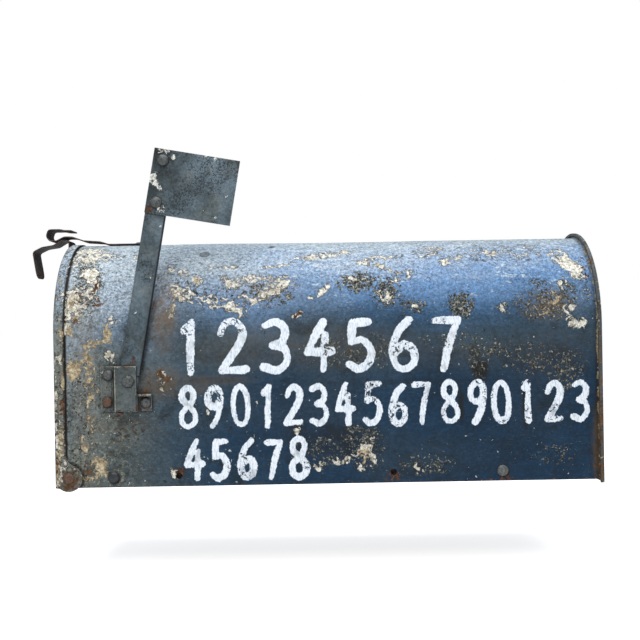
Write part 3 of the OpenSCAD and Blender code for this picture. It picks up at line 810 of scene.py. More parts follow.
RUST = [
    (-206, 157, 3, 9, -20, 0.56), (-204, 142, 6, 4, 0, 0.56), (-220, 148, 5, 5, 0, 0.4),
    (-144, 76, 4, 9, 35, 0.52), (-26, 128, 4, 3, 0, 0.5), (56, -14, 6, 5, 0, 0.62),
    (-132, -7, 4.6, 4.6, 0, 0.58), (235, -8, 3, 16, 0, 0.42), (-213, -8, 6, 7, 0, 0.45),
    (-222, 125, 4, 4, 0, 0.5), (158, -19, 8, 4, -20, 0.5), (-176, 49, 5, 3, 0, 0.42),
    (-160, 67, 4, 14, 0, 0.42), (-152, 125, 3, 20, 0, 0.24), (231, 167, 3, 20, 0, 0.3),
]
WORN = [
    (28, 159, 15, 9, 5, 0.78), (52, 148, 11, 12, 0, 0.78), (75, 136, 11, 6, -20, 0.64),
    (118, 135, 10, 10, 0, 0.9), (198, 136, 18, 13, 0, 0.72), (189, 155, 10, 4, -5, 0.55),
    (182, 132, 10, 12, 0, 0.5), (212, 143, 8, 16, 0, 0.5), (155, 132, 8, 6, 0, 0.4),
    (170, 137, 12, 6, 0, 0.42), (132, 84, 8, 12, 10, 0.5), (190, 86, 34, 12, 0, 0.42),
    (208, 74, 14, 16, 0, 0.46), (30, 13, 18, 20, 0, 0.42), (-5, 8, 26, 14, 0, 0.36),
    (84, -5, 22, 8, 0, 0.42), (-45, 147, 16, 10, 10, 0.5), (-66, 152, 14, 10, 0, 0.42),
    (-95, 149, 18, 10, 0, 0.36), (-126, 154, 14, 14, 0, 0.36), (-212, 157, 12, 26, 0, 0.5),
    (-214, 178, 12, 20, 0, 0.42), (112, 103, 30, 8, 0, 0.4), (20, 95, 40, 16, 0, 0.36),
    (-215, 37, 14, 60, 0, 0.3), (-190, 66, 20, 30, 0, 0.28), (150, 95, 30, 8, 0, 0.42),
    (196, 4, 20, 10, 0, 0.3),
]
GRIME = [
    (133, 78, 8, 9, 15, 1.0), (128, 92, 5, 8, 20, 0.7), (190, 86, 40, 18, 0, 0.5),
    (-28, 23, 14, 16, 0, 0.6), (10, 17, 46, 18, 0, 0.6), (-100, 96, 26, 14, 0, 0.45),
    (-60, 30, 60, 20, 0, 0.3), (237, 13, 4, 60, 0, 0.9), (232, 3, 6, 40, 0, 0.5), (-104, 72, 34, 3, 0, 0.6),
    (60, 68, 130, 3.5, 0, 0.5), (100, 89, 60, 10, 0, 0.3), (-132, -7, 7, 7, 0, 0.5),
    (56, -13, 7, 7, 0, 0.4), (36, 95, 26, 16, 0, 0.4), (84, -9, 40, 7, 0, 0.36), (-180, 69, 22, 22, 0, 0.3),
    (-176, 49, 20, 4, 0, 0.6), (116, 46, 2.5, 17, 0, 0.9), (-52, 139, 24, 4, 0, 0.3),
    (-190, -4, 7, 7, 0, 0.6), (152, -16, 7, 6.5, 0, 0.5), (-4, 88, 50, 4, 0, 0.36),
    (-50, 215, 4, 2.5, 10, 1.0), (-209, -5, 5, 14, 0, 0.45), (173, 46, 2.6, 19, 0, 1.3),
    (198, 26, 3, 3, 0, 0.7), (112, 60, 3, 5, 0, 0.6),
]
WASH = [
    (-148, 71, 17, 12, 0, 0.95), (-144, 132, 10, 28, 0, 1.0), (-122, 66, 20, 5, 0, 0.5),
    (-104, 72, 30, 4, 0, 0.5), (-185, 32, 26, 16, 0, 0.35), (-213, 66, 9, 80, 0, 0.4),
    (100, 93, 60, 12, 0, 0.12), (196, 90, 30, 20, 0, 0.12), (236, 3, 4, 34, 0, 0.9),
    (-30, 101, 90, 16, 0, 0.28), (-56, 154, 30, 14, 0, 0.3), (195, 134, 20, 13, 0, 0.5),
]

BOX_SPOTS = {"flake": CREAM, "tan": TAN, "rust": RUST, "worn": WORN, "grime_and_shade": GRIME, "wash": WASH}

# ---------------------------------------------------------------------------
# Brushed numbers: plain digits counted up, on three rows
# ---------------------------------------------------------------------------

DIGIT_STROKES = {
    "0": [
        [
            (0.3, 1), (0.1, 0.84), (0.03, 0.5), (0.1, 0.15), (0.3, 0), (0.5, 0.14), (0.57, 0.5),
            (0.5, 0.85), (0.3, 1),
        ],
    ],
    "1": [[(0.16, 0.84), (0.32, 1)], [(0.32, 1), (0.3, 0.5), (0.31, 0)]],
    "2": [
        [(0.04, 0.76), (0.14, 0.95), (0.34, 1), (0.52, 0.84), (0.48, 0.6), (0.28, 0.32), (0.05, 0.03)],
        [(0.05, 0.03), (0.58, 0.05)],
    ],
    "3": [
        [(0.06, 0.92), (0.3, 1), (0.5, 0.85), (0.46, 0.62), (0.24, 0.53)],
        [(0.24, 0.53), (0.5, 0.45), (0.56, 0.2), (0.34, 0.01), (0.04, 0.09)],
    ],
    "4": [[(0.4, 1), (0.2, 0.68), (0.04, 0.36)], [(0.04, 0.36), (0.6, 0.38)], [(0.45, 0.72), (0.42, 0)]],
    "5": [
        [(0.52, 0.98), (0.14, 0.96)],
        [(0.14, 0.96), (0.1, 0.56)],
        [(0.1, 0.56), (0.36, 0.6), (0.55, 0.38), (0.48, 0.12), (0.25, 0), (0.03, 0.1)],
    ],
    "6": [
        [
            (0.46, 0.99), (0.22, 0.78), (0.06, 0.42), (0.12, 0.1), (0.32, 0), (0.53, 0.14), (0.52, 0.4),
            (0.32, 0.5), (0.1, 0.34),
        ],
    ],
    "7": [[(0.03, 0.97), (0.56, 0.98)], [(0.56, 0.98), (0.36, 0.5), (0.24, 0)]],
    "8": [
        [
            (0.3, 0.53), (0.08, 0.72), (0.14, 0.94), (0.33, 1), (0.5, 0.86), (0.44, 0.64), (0.3, 0.53),
            (0.07, 0.34), (0.08, 0.1), (0.3, 0), (0.54, 0.12), (0.52, 0.36), (0.3, 0.53),
        ],
    ],
    "9": [
        [
            (0.52, 0.72), (0.36, 0.52), (0.12, 0.57), (0.06, 0.82), (0.25, 1), (0.46, 0.95), (0.52, 0.72),
            (0.44, 0.3), (0.24, 0),
        ],
    ],
}
# Rows: digits, first x, foot height, digit height, step to the next digit, stroke width, in millimetres
NUMBER_ROWS = [
    ("1234567", -133, 79.5, 43.5, 37.5, 6.6),
    ("8901234567890123", -130, 32, 34, 22.9, 5.2),
    ("45678", -126, -13.4, 33, 23, 5.4),
]


def smooth_line(points, steps=7):
    """Curve through the points."""
    p = np.array(points, float)
    if len(p) < 3:
        return resampled(p, np.linalg.norm(p[-1] - p[0]) / steps)
    closed = np.allclose(p[0], p[-1])
    ends = (p[-2], p[1]) if closed else (2 * p[0] - p[1], 2 * p[-1] - p[-2])
    q = np.vstack([ends[0], p, ends[1]])
    out = []
    for a, b, c, d in zip(q, q[1:], q[2:], q[3:]):
        square, cube = 2 * a - 5 * b + 4 * c - d, 3 * b - a - 3 * c + d
        for t in np.linspace(0, 1, steps, endpoint=False):
            out.append(0.5 * (2 * b + (c - a) * t + square * t**2 + cube * t**3))
    out.append(p[-1])
    return np.array(out)


def number_segments():
    """All brush strokes as short segments: start, end and half width, in millimetres."""
    rng = np.random.default_rng(5)
    segments = []
    for digits, x0, z0, tall, step, brush in NUMBER_ROWS:
        for place, digit in enumerate(digits):
            lean = rng.uniform(-0.05, 0.05)
            size = tall * rng.uniform(0.95, 1.03)
            shift = np.array([x0 + place * step + rng.uniform(-0.6, 0.6), z0 + rng.uniform(-0.8, 0.8)])
            for stroke in DIGIT_STROKES[digit]:
                line = smooth_line(stroke) * size * np.array([min(1.0, step / tall * 1.05), 1])
                line[:, 0] += lean * line[:, 1]
                line += shift + rng.normal(0, 0.15, line.shape)
                width = brush / 2 * rng.uniform(0.88, 1.12)
                press = 1 + 0.14 * np.sin(np.linspace(0, 5, len(line)) + rng.uniform(0, 6))
                segments += list(zip(line, line[1:], width * press))
    return segments


def number_field(points):
    """Distance inside the nearest brush stroke, in millimetres; negative outside."""
    inside = np.full(len(points), -4.0)
    x, s = points[:, 0] / MM, around(points) / MM
    near = (points[:, 1] < 0) & (s < DOME_Z / MM + 25)
    p = np.stack([x[near], s[near]], axis=1)
    best = np.full(len(p), -4.0)
    for a, b, half in number_segments():
        ab = b - a
        t = unit((p - a) @ ab / max(ab @ ab, 1e-9))
        best = np.maximum(best, half - np.linalg.norm(p - a - t[:, None] * ab, axis=1))
    inside[near] = best
    return np.clip(inside, -4, 4)


# ---------------------------------------------------------------------------
# Box
# ---------------------------------------------------------------------------

# Place of the filled hole near the roof: x and distance round the outline
PLUG = (-111, 199)
FASTENER_SPOTS = [middle(node) for node, body in BODY_OF.items() if body == "box" and "rivet" in node]
UNTOUCHED = {"flake": 0.0, "scuff": 0.0, "numbers": -4.0, "dry": 0.0, "plug": -4.0, "frost": 0.0}


def wear_and_light_masks(piece, fields):
    """Stores every mask that the aged paint reads, wear and painted light and shade alike; those not named stay
    untouched.
    """
    blank = np.zeros(len(piece.data.vertices))
    for name, values in {**UNTOUCHED, **fields}.items():
        paint_mask(piece, name, blank + values)


def box_masks(piece, inside):
    """Wear masks of the body sheet, outside and inside, with painted shadow behind the skirt, below the rivets and
    round the hinge ear, and the tone partly painted lighter towards the top.
    """
    p = mesh_points(piece)
    x, s = p[:, 0] / MM, around(p) / MM
    right = p[:, 1] < 0
    near_door = unit(1 - (x - FRONT_X / MM) / 150)
    upper = unit((s - 100) / 40)
    from_arm = x - PIVOT.x / MM + 14
    # Tone by height: fading plus painted light from above, lighter towards the top.
    heights = [-20, 60, 96, 123, 140, 160, 180, 210, 245]
    fade = np.interp(s, heights, [0.21, 0.23, 0.33, 0.49, 0.68, 0.8, 0.9, 0.98, 1])
    fade += 0.24 * near_door * (1 - upper) + 0.12 * unit((-195 - x) / 20)
    fade += 0.08 * unit((-30 - x) / 60)
    fade += 0.26 * upper * bell(from_arm, 20)
    fade += 0.07 * value_noise(p, 0.06, 3) + 0.04 * value_noise(p, 0.02, 4)
    fade += 0.09 * layered_noise(p * (0.45, 1, 1), 0.045, 2, 16) * upper
    warm = unit(1.5 * near_door) * np.where(s < 100, 1, 0.85)
    warm -= 0.4 * bell(from_arm, 18) * upper
    warm = np.maximum(warm, 0.4 * bell(s - 98, 22))
    warm = np.maximum(warm, 0.7 * unit((s - 195) / 25))
    warm = np.maximum(warm, 0.6 * unit(1 - (x + 120) / 110) * unit((s - 140) / 30))
    warm = unit(warm + 0.22 * value_noise(p, 0.045, 8))
    mirror = np.where(right, 1.0, 0.75)
    q = p.copy()
    q[~right, 0] = -q[~right, 0]
    fields = {name: patches(q, spots) * mirror for name, spots in BOX_SPOTS.items()}
    # Painted shadow: a dark line on the sheet just behind the door's skirt.
    behind_skirt = 1.3 * bell(x - SKIRT_REAR_X / MM - 0.6, 1.5)
    fields["grime_and_shade"] = np.maximum(fields["grime_and_shade"], behind_skirt)
    # Painted shadow: a dark crescent below and behind each rivet on the same side.
    for spot in FASTENER_SPOTS:
        away = np.hypot(p[:, 0] - spot.x - 1.1 * MM, p[:, 2] - spot.z + 1.3 * MM) / MM
        ring = 1.15 * np.exp(-((away / 5.6) ** 6)) * (p[:, 1] * spot.y > 0)
        fields["grime_and_shade"] = np.maximum(fields["grime_and_shade"], ring)
    # Painted shadow: a dark outline round the hinge ear.
    ear_gap = (np.hypot(p[:, 0] - HINGE.x, p[:, 2] - HINGE.z) - EAR_R) / MM - 0.9
    fields["grime_and_shade"] = np.maximum(fields["grime_and_shade"], 1.3 * bell(ear_gap, 1.3))
    fields["grime_and_shade"] = fields["grime_and_shade"] * np.where(right, 1, 0.5)
    fields["rust"] = np.maximum(fields["rust"], 0.34 * bell(s - LOW_Z / MM, 2.2))
    scuff = unit((s - 110) / 90) * (0.75 + 0.4 * value_noise(p, 0.035, 10)) + 0.3 * near_door
    scuff = np.clip(scuff, 0.04, 1)
    chips = 0.065 + 0.06 * unit(value_noise(p, 0.03, 9))
    chips += 0.03 * unit((s - 120) / 60)
    frost = np.interp(s, [120, 150, 175, 200, 225], [0, 0.3, 0.75, 0.95, 0.8])
    frost += 0.45 * value_noise(p * (0.6, 1, 1), 0.03, 15) * unit((s - 130) / 30)
    fields.update(fade=unit(fade), warm=warm, scuff=scuff, chips=chips, frost=np.clip(frost, 0, 1.3))
    fields["numbers"] = number_field(p)
    fields["dry"] = np.clip(0.06 + 0.4 * value_noise(p, 0.02, 12), 0, 0.46)
    fields["plug"] = np.where(right, 4.2 - np.hypot(x - PLUG[0], s - PLUG[1]), -9)
    blotch = layered_noise(p, 0.045, 3, 13)
    bare_inside = {
        "tan": 0.2 + 0.5 * blotch,
        "rust": 0.28 + 0.5 * layered_noise(p, 0.05, 3, 14),
        "worn": 0.3 - 0.4 * blotch,
        "grime_and_shade": 0.25 + 0.3 * blotch,
        "wash": 0.5,
        "fade": 0.42 + 0.12 * blotch,
        "warm": 1.0,
        "scuff": 0.1,
        "chips": 0.03,
    }
    for name, values in {**UNTOUCHED, **bare_inside}.items():
        fields[name] = np.where(inside, values, fields[name])
    wear_and_light_masks(piece, fields)


def calm(points):
    """Falls to 0 at the rivets and at the box's ends, where the sheet can't bow."""
    free = np.ones(len(points))
    for spot in FASTENER_SPOTS:
        away = np.linalg.norm(points - np.array(spot), axis=1)
        free *= 1 - bell(away, 16 * MM)
    ends = unit((points[:, 0] - SKIRT_REAR_X - 4 * MM) / (25 * MM))
    ends *= unit((REAR_X - 12 * MM - points[:, 0]) / (25 * MM))
    strip = (points[:, 2] > TOP_Z - 6 * MM) & (points[:, 0] < -140 * MM)
    near_bracket = bell(points[:, 0] - PIVOT.x, 30 * MM) * bell(points[:, 2] - PIVOT.z + 8 * MM, 28 * MM)
    off_bracket = np.where(points[:, 1] < 0, 1 - near_bracket, 1)
    return free * ends * np.where(strip, 0, 1) * off_bracket


def body_sheet():
    """Body sheet with its rear flare, open screw holes, and the dents of long use."""
    near = {"fine": (SCREW_Z,), "fine_step": 0.9 * MM, "fine_reach": 4.5 * MM}
    right_zs = spaced(LOW_Z, DOME_Z - 1 * MM, 2 * MM, **near)
    left_zs = spaced(DOME_Z - 4 * MM, LOW_Z, 6 * MM, **near)
    angles = np.radians(np.concatenate([np.arange(0, 90, 1.65), np.arange(90, 180.1, 4.5)]))
    outline = BoxOutline(right_zs, angles, left_zs)
    flange_x = shell_hi.x - SHEET
    near["fine"] = SCREW_XS
    straight = spaced(shell_lo.x, flange_x - FLARE_R, 2.05 * MM, **near)
    bend = np.radians([22.5, 45, 67.5, 90])
    xs = np.concatenate([straight, flange_x - FLARE_R + FLARE_R * np.sin(bend), [flange_x, flange_x]])
    rise = HALF_W + FLARE_R * (1 - np.cos(bend))
    radii = np.concatenate([np.full(len(straight), HALF_W), rise, [rise[-1] + 1.2 * MM, shell_hi.y]])
    grid = outline.grid(xs, radii)
    rows, columns = grid.shape[:2]
    points = grid.reshape(-1, 3)

    # Dents, one long crease and the waviness of thin sheet
    normals = np.repeat(np.stack([np.zeros(rows), outline.ny, outline.nz], axis=1), columns, axis=0)
    s = around(points)
    wave = 0.55 * MM * value_noise(points * (0.6, 1, 1), 0.075, 21)
    wave += 0.22 * MM * value_noise(points, 0.03, 22)
    crease_z = 88 * MM + 3 * MM * value_noise(points * (1, 0, 0), 0.09, 23)
    crease = -0.5 * MM * bell(s - crease_z, 2.6 * MM) * (points[:, 1] < 0)
    points = points + normals * ((wave + crease) * calm(points))[:, None]

    # Screw holes: drop the faces inside, then pull the ring of points onto the circle
    faces = grid_faces(rows, columns)
    for centre_x in SCREW_XS:
        centres = points[faces].mean(axis=1)
        away = np.hypot(centres[:, 0] - centre_x, centres[:, 2] - SCREW_Z)
        hole = (away < SCREW_R) & (np.abs(centres[:, 2]) < 30 * MM)
        ring = np.intersect1d(np.unique(faces[hole]), np.unique(faces[~hole]))
        faces = faces[~hole]
        dx, dz = points[ring, 0] - centre_x, points[ring, 2] - SCREW_Z
        reach = SCREW_R / np.hypot(dx, dz)
        points[ring, 0], points[ring, 2] = centre_x + dx * reach, SCREW_Z + dz * reach
    piece = place_piece(new_mesh("body_sheet", points, faces), "box", "body_paint", "body_shell")
    weld(piece)
    box_masks(piece, thicken(piece, SHEET))


def panel_outline(extra_low=()):
    """Even outline for the end panels, the same on both sides."""
    zs = [*extra_low, *spaced(LOW_Z, 12 * MM, 1.0 * MM), *spaced(15 * MM, DOME_Z - 2 * MM, 3.2 * MM)]
    return BoxOutline(zs, np.radians(np.linspace(0, 180, 76)), zs[::-1])


def ear_rear_x(z):
    """Rear edge of the door's skirt and hinge ear at a height."""
    fillet_r = 14 * MM
    neck_z = LOW_Z + 31 * MM
    centre_x = SKIRT_REAR_X + fillet_r
    slope_x, slope_z = centre_x - fillet_r * math.cos(math.pi / 4), neck_z - fillet_r * math.sin(math.pi / 4)
    ear_x, ear_z = (c + EAR_R * math.sin(math.pi / 4) for c in (HINGE.x, HINGE.z))
    if z >= neck_z:
        return SKIRT_REAR_X
    if z >= slope_z:
        return centre_x - math.sqrt(max(fillet_r**2 - (z - neck_z) ** 2, 0))
    if z >= ear_z:
        return slope_x + (ear_x - slope_x) * (slope_z - z) / (slope_z - ear_z)
    return HINGE.x + math.sqrt(max(EAR_R**2 - (z - HINGE.z) ** 2, 0))


def door_sheet():
    """Door: flat panel, bent rim, skirt round the box and the two hinge ears in one sheet."""
    bend_r = 1.8 * MM
    low = HINGE.z - EAR_R
    extra = [low + 0.02 * MM, low + 0.4 * MM, low + 1.1 * MM, low + 2.0 * MM, low + 2.8 * MM]
    outline = panel_outline(extra)
    rows = len(outline.ny)
    inner = np.linspace(0, 1, 16) * (SKIRT_R - bend_r)
    bend = np.radians([22.5, 45, 67.5, 90])
    skirt_steps = np.linspace(0, 1, 9)[1:]
    below = (outline.cz < LOW_Z - 1e-9) & (np.abs(outline.ny) > 0.999)
    side = np.abs(outline.ny) > 0.999
    xs, radii = [], []
    for row in range(rows):
        z = outline.cz[row]
        rear = ear_rear_x(z) if side[row] else SKIRT_REAR_X
        front = FRONT_X + bend_r
        if below[row]:
            front = HINGE.x - math.sqrt(max(EAR_R**2 - (z - HINGE.z) ** 2, 0))
        bent_x = FRONT_X + bend_r * (1 - np.cos(bend)) + (front - FRONT_X - bend_r) * (bend / bend[-1])
        bent_r = SKIRT_R - bend_r + bend_r * np.sin(bend)
        skirt_x = front + (rear - front) * skirt_steps
        xs.append(np.concatenate([np.full(len(inner), FRONT_X), bent_x, skirt_x]))
        radii.append(np.concatenate([inner, bent_r, np.full(len(skirt_steps), SKIRT_R)]))
    grid = outline.grid(np.array(xs), np.array(radii))
    columns = grid.shape[1]
    points = grid.reshape(-1, 3)
    keep = np.ones((rows, columns), bool)
    keep[below, : len(inner) + len(bend) - 1] = False
    face_on = (points[:, 0] < FRONT_X + 0.1 * MM) & (from_axis(points) < SKIRT_R - 6 * MM)
    still = unit(np.abs(points[:, 1]) / (20 * MM) - 0.8)
    points[:, 0] += np.where(face_on, 0.5 * MM * value_noise(points, 0.06, 31) * still, 0)
    skirt = np.abs(from_axis(points) - SKIRT_R) < 0.1 * MM
    ripple = 0.12 * MM * value_noise(points, 0.018, 32)
    points[:, 1] += np.where(skirt, np.sign(points[:, 1]) * unit(ripple), 0)
    mesh = new_mesh("door_sheet", points, grid_faces(rows, columns, keep))
    piece = place_piece(mesh, "door", "body_paint", "door_panel")
    weld(piece)
    thicken(piece, SHEET)
    door_masks(piece)


SKIRT_SPOTS = {
    "flake": [
        (-236, 90, 5, 6, 0, 0.6), (-238, 10, 3, 26, 0, 0.55), (-233, -2, 3, 10, 0, 0.4),
        (-239, 60, 2, 20, 0, 0.45), (-234, 170, 5, 40, 0, 0.34), (-236, 215, 8, 20, 0, 0.3),
        (-239, -14, 4, 8, 0, 0.6),
    ],
    "tan": [
        (-234, 24, 3, 13, 0, 0.66), (-232, 72, 2, 10, 0, 0.5), (-238, -5, 3, 14, 0, 0.5),
        (-233, 112, 2, 12, 0, 0.4),
    ],
    "rust": [
        (-233, 52, 3, 7, 0, 0.6), (-228, -11, 9, 9, 0, 0.4), (-231, -20, 9, 3, 0, 0.6),
        (-238, 0, 2, 8, 0, 0.5),
    ],
    "worn": [(-236, 40, 8, 70, 0, 0.36), (-236, 160, 6, 70, 0, 0.22), (-226, -10, 14, 14, 0, 0.36)],
    # The long thin first spot is a painted shadow line along the skirt's rear edge.
    "grime_and_shade": [(-231, 60, 1.2, 130, 0, 0.7), (-228, -11, 7.5, 7.5, 0, 0.7)],
    "wash": [(-228, -10, 14, 12, 0, 0.6), (-234, 40, 6, 60, 0, 0.4)],
}


def door_masks(piece):
    """Wear of the door: scuffed and pale on the skirt's top, the paleness partly painted light from above; cream
    and tan chips down its edge; a painted shadow line along the skirt's rear edge.
    """
    p = mesh_points(piece)
    s = around(p) / MM
    skirt = p[:, 0] > FRONT_X + 0.6 * MM
    panel = ~skirt
    fields = {name: np.where(skirt, patches(p, spots), 0) for name, spots in SKIRT_SPOTS.items()}
    # Painted shadow along the last millimetres of the skirt's rear edge.
    rear_edge = unit((p[:, 0] - SKIRT_REAR_X) / MM + 1.6) * (s > 20)
    fields["grime_and_shade"] = np.maximum(fields["grime_and_shade"], 1.3 * rear_edge)
    panel_wear = (("worn", 0.03, 0.5, 41), ("rust", 0.035, 0.42, 42), ("flake", 0.04, 0.5, 43))
    for name, cell, amount, seed in panel_wear:
        wear = unit(amount * layered_noise(p, cell, 3, seed) + 0.1)
        fields[name] = np.where(panel, wear, fields[name])
    # Tone lighter towards the top, partly painted light from above.
    fade = np.interp(s, [-20, 60, 110, 150, 200, 245], [0.56, 0.62, 0.7, 0.84, 1, 1])
    fade += 0.06 * value_noise(p, 0.03, 44)
    panel_fade = 0.36 + 0.14 * unit((p[:, 2] - 0.06) / 0.1) + 0.1 * value_noise(p, 0.07, 45)
    fields["fade"] = unit(np.where(panel, panel_fade, fade))
    fields["warm"] = np.where(skirt, 1.0 - 0.5 * unit((s - 110) / 60), 0.7)
    fields["scuff"] = np.clip((s - 120) / 60, 0.1, 0.9)
    fields["chips"] = 0.1
    fields["frost"] = np.where(skirt, 0.3 + np.clip((s - 150) / 80, 0, 0.5), 0.3)
    wear_and_light_masks(piece, fields)


def rear_sheet():
    """Rear panel: flat plate with its rim folded forward round the flared end of the body."""
    outline = panel_outline()
    rings = 16
    inner = np.linspace(0, 1, rings)
    bend_r = 1.4 * MM
    bend = np.radians([30, 60, 90])
    rim_x, lip_r = cap_lo.x, HALF_W + 2.2 * MM
    xs = [np.full(rings, REAR_X), REAR_X - bend_r * (1 - np.cos(bend))]
    xs += [np.linspace(REAR_X - bend_r, rim_x, 4)[1:], np.full(3, rim_x)]
    radii = [inner * (SEAM_R - bend_r), SEAM_R - bend_r * (1 - np.sin(bend))]
    radii += [np.full(3, SEAM_R), np.linspace(SEAM_R, lip_r, 4)[1:]]
    grid = outline.grid(np.concatenate(xs), np.concatenate(radii))
    drop = cap_lo.z - LOW_Z
    rows, columns = grid.shape[:2]
    low_rows = unit(1 - (outline.cz - LOW_Z) / (8 * MM)) * (np.abs(outline.ny) > 0.999)
    grid[:, :, 2] += (drop * low_rows)[:, None]
    points = grid.reshape(-1, 3)
    flat = (points[:, 0] > REAR_X - 0.1 * MM) & (from_axis(points) < SEAM_R - 7 * MM)
    points[:, 0] -= np.where(flat, 0.5 * MM * np.abs(value_noise(points, 0.07, 51)), 0)
    hem_y, hem_top = HALF_W - 12 * MM, cap_lo.z + 8 * MM
    hem_x = REAR_X - 2 * SHEET
    hem = np.array([[x, y, z] for x in (hem_x,) for y in (-hem_y, hem_y) for z in (cap_lo.z, hem_top)])
    faces = [tuple(f) for f in grid_faces(rows, columns)[:, ::-1]]
    first = len(points)
    faces.append((first, first + 1, first + 3, first + 2))
    mesh = new_mesh("rear_sheet", np.vstack([points, hem]), faces)
    piece = place_piece(mesh, "box", "body_paint", "rear_cap")
    weld(piece)
    thicken(piece, SHEET)
    p = mesh_points(piece)
    s = around(p) / MM
    low = unit(1 - (s + 20) / 150)
    behind = np.where(p[:, 0] < REAR_X - 1 * MM, 1, 0.7)
    # Tone lighter towards the top, partly painted light from above.
    fade = np.interp(s, [-20, 100, 200, 245], [0.34, 0.38, 0.55, 0.6])
    fields = {
        "rust": unit(0.25 + 0.35 * low + 0.45 * layered_noise(p, 0.02, 3, 52)) * behind,
        "tan": unit(0.3 * layered_noise(p, 0.03, 3, 53) + 0.25 * low),
        "flake": unit(0.5 * layered_noise(p, 0.035, 3, 54) + 0.08),
        "worn": unit(0.5 * layered_noise(p, 0.03, 3, 55) + 0.15),
        "grime_and_shade": unit(0.5 * layered_noise(p, 0.05, 2, 56)),
        "wash": unit(0.3 + 0.5 * low),
        "fade": unit(fade + 0.08 * value_noise(p, 0.05, 57)),
        "warm": 0.7,
        "scuff": np.clip((s - 150) / 80, 0, 0.5),
        "chips": 0.08,
        "frost": 0.2,
    }
    wear_and_light_masks(piece, fields)


def floor_sheet():
    """Floor pan, kept in its exact shape and split finely for rust and dirt."""
    piece = dense_copy("floor_pan", "box", "body_paint", 14 * MM)
    p = mesh_points(piece)
    fields = {
        "rust": 0.45 + 0.4 * layered_noise(p, 0.05, 3, 61),
        "tan": 0.2 + 0.4 * layered_noise(p, 0.04, 3, 62),
        "worn": 0.3 + 0.4 * layered_noise(p, 0.05, 3, 63),
        "grime_and_shade": 0.5,
        "wash": 0.6,
        "fade": 0.4,
        "warm": 1.0,
        "chips": 0.03,
    }
    wear_and_light_masks(piece, fields)


# ---------------------------------------------------------------------------
# Straps and latch
# ---------------------------------------------------------------------------


def bent_strip(name, node, body, corners, rust, seed, round_end=0.0):
    """Strip bent along a side outline, with rolled edges and slight waviness from handling."""
    line = resampled(rounded(corners), 1.6) * MM + np.array([FRONT_X, TOP_Z])
    step = np.gradient(line, axis=0)
    step /= np.linalg.norm(step, axis=1)[:, None]
    normal = np.stack([-step[:, 1], step[:, 0]], axis=1)
    edge = 0.35 * STRAP_T
    across = np.linspace(-1, 1, 13)[1:-1]
    half, thick = STRAP_W / 2, STRAP_T / 2
    under = [(-half, -thick + edge), (-half + edge, -thick), *((a * half, -thick) for a in across)]
    under += [(half - edge, -thick), (half, -thick + edge)]
    section = np.array(under + [(-a, -b) for a, b in under])
    ring = len(section)
    lengths = np.concatenate([[0], np.cumsum(np.linalg.norm(np.diff(line, axis=0), axis=1))])
    left = lengths[-1] - lengths
    narrow = np.ones(len(line))
    if round_end:
        past = np.clip(round_end - left, 0, round_end)
        narrow = 1 - (round_end - np.sqrt(round_end**2 - past**2)) / half
    rough = 0.25 * MM * value_noise(np.stack([lengths, 0 * lengths, 0 * lengths + seed], axis=1), 0.009, seed)
    on_edge = np.sign(section[:, 0]) * (np.abs(section[:, 0]) > half - edge * 1.5)
    points = []
    for at, up, share, bump in zip(line, normal, narrow, rough):
        x = at[0] + up[0] * section[:, 1]
        z = at[1] + up[1] * section[:, 1]
        points.append(np.stack([x, section[:, 0] * share + on_edge * bump, z], axis=1))
    faces = [*tube_faces(len(line), ring), *end_faces(len(line), ring)]
    mesh = new_mesh(name, np.concatenate(points), faces)
    piece = place_piece(mesh, body, "strap_steel", node)
    paint_mask(piece, "rust", rust(mesh_points(piece)))


STRAP_W, STRAP_T = 25 * MM, 1.2 * MM
# Lines are in millimetres from the top of the door's face; the strips' middle lies this far off the sheet
SEAT = 0.65
LATCH_LINE = [
    (79, SEAT, 0), (35, SEAT, 8), (27, 3.2, 8), (11, 4.4, 6), (0.5, 8.2, 5), (-7, 8.4, 5), (-14.5, 4.6, 4),
    (-20.5, 4.6, 3.5), (-24, 9, 4), (-22, 15.4, 3.2), (-11, 15.4, 8), (-7, 14.5, 8), (-0.5, 14.3, 0),
]
PULL_LINE = [
    (-SEAT, -62, 0), (-SEAT, -18, 6), (-SEAT - 1.8, -10, 6), (-SEAT - 1.8, 3.4, 2), (-5.2, 5.1, 2),
    (-9.5, 5.1, 3), (-17.5, 0.3, 5), (-28, -1.2, 10), (-36.8, -5.5, 3.4), (-32.8, -30.5, 0),
]


def latch_rust(points):
    """Uneven rust over the whole latch."""
    return unit(0.25 + 0.4 * layered_noise(points, 0.02, 2, 71))


def pull_rust(points):
    """More rust down the part that is handled."""
    handled = points[:, 0] < FRONT_X - 20 * MM
    drop = unit((TOP_Z - points[:, 2]) / (30 * MM)) * handled
    return unit(0.22 + 0.45 * drop + 0.4 * layered_noise(points, 0.02, 2, 72))


# ---------------------------------------------------------------------------
# Rivets
# ---------------------------------------------------------------------------


SHOP_H, SHOP_R = 1.2 * MM, 3.6 * MM
RIVET_STEPS = 28
DOME_RINGS = 8


def rivet_profile(head_r, head_h, shank_r, length):
    """Radius and depth from the top of the head down to the flat disc on the inside."""
    quarter = [b * math.pi / 2 for b in np.linspace(0, 1, DOME_RINGS)]
    dome = [(head_r * math.sin(a), head_h * (1 - math.cos(a)) ** 1.15) for a in quarter]
    foot, foot_r = length - SHOP_H, min(SHOP_R, head_r)
    return [*dome, (shank_r, head_h), (shank_r, foot), (foot_r, foot), (foot_r, length), (0, length)]


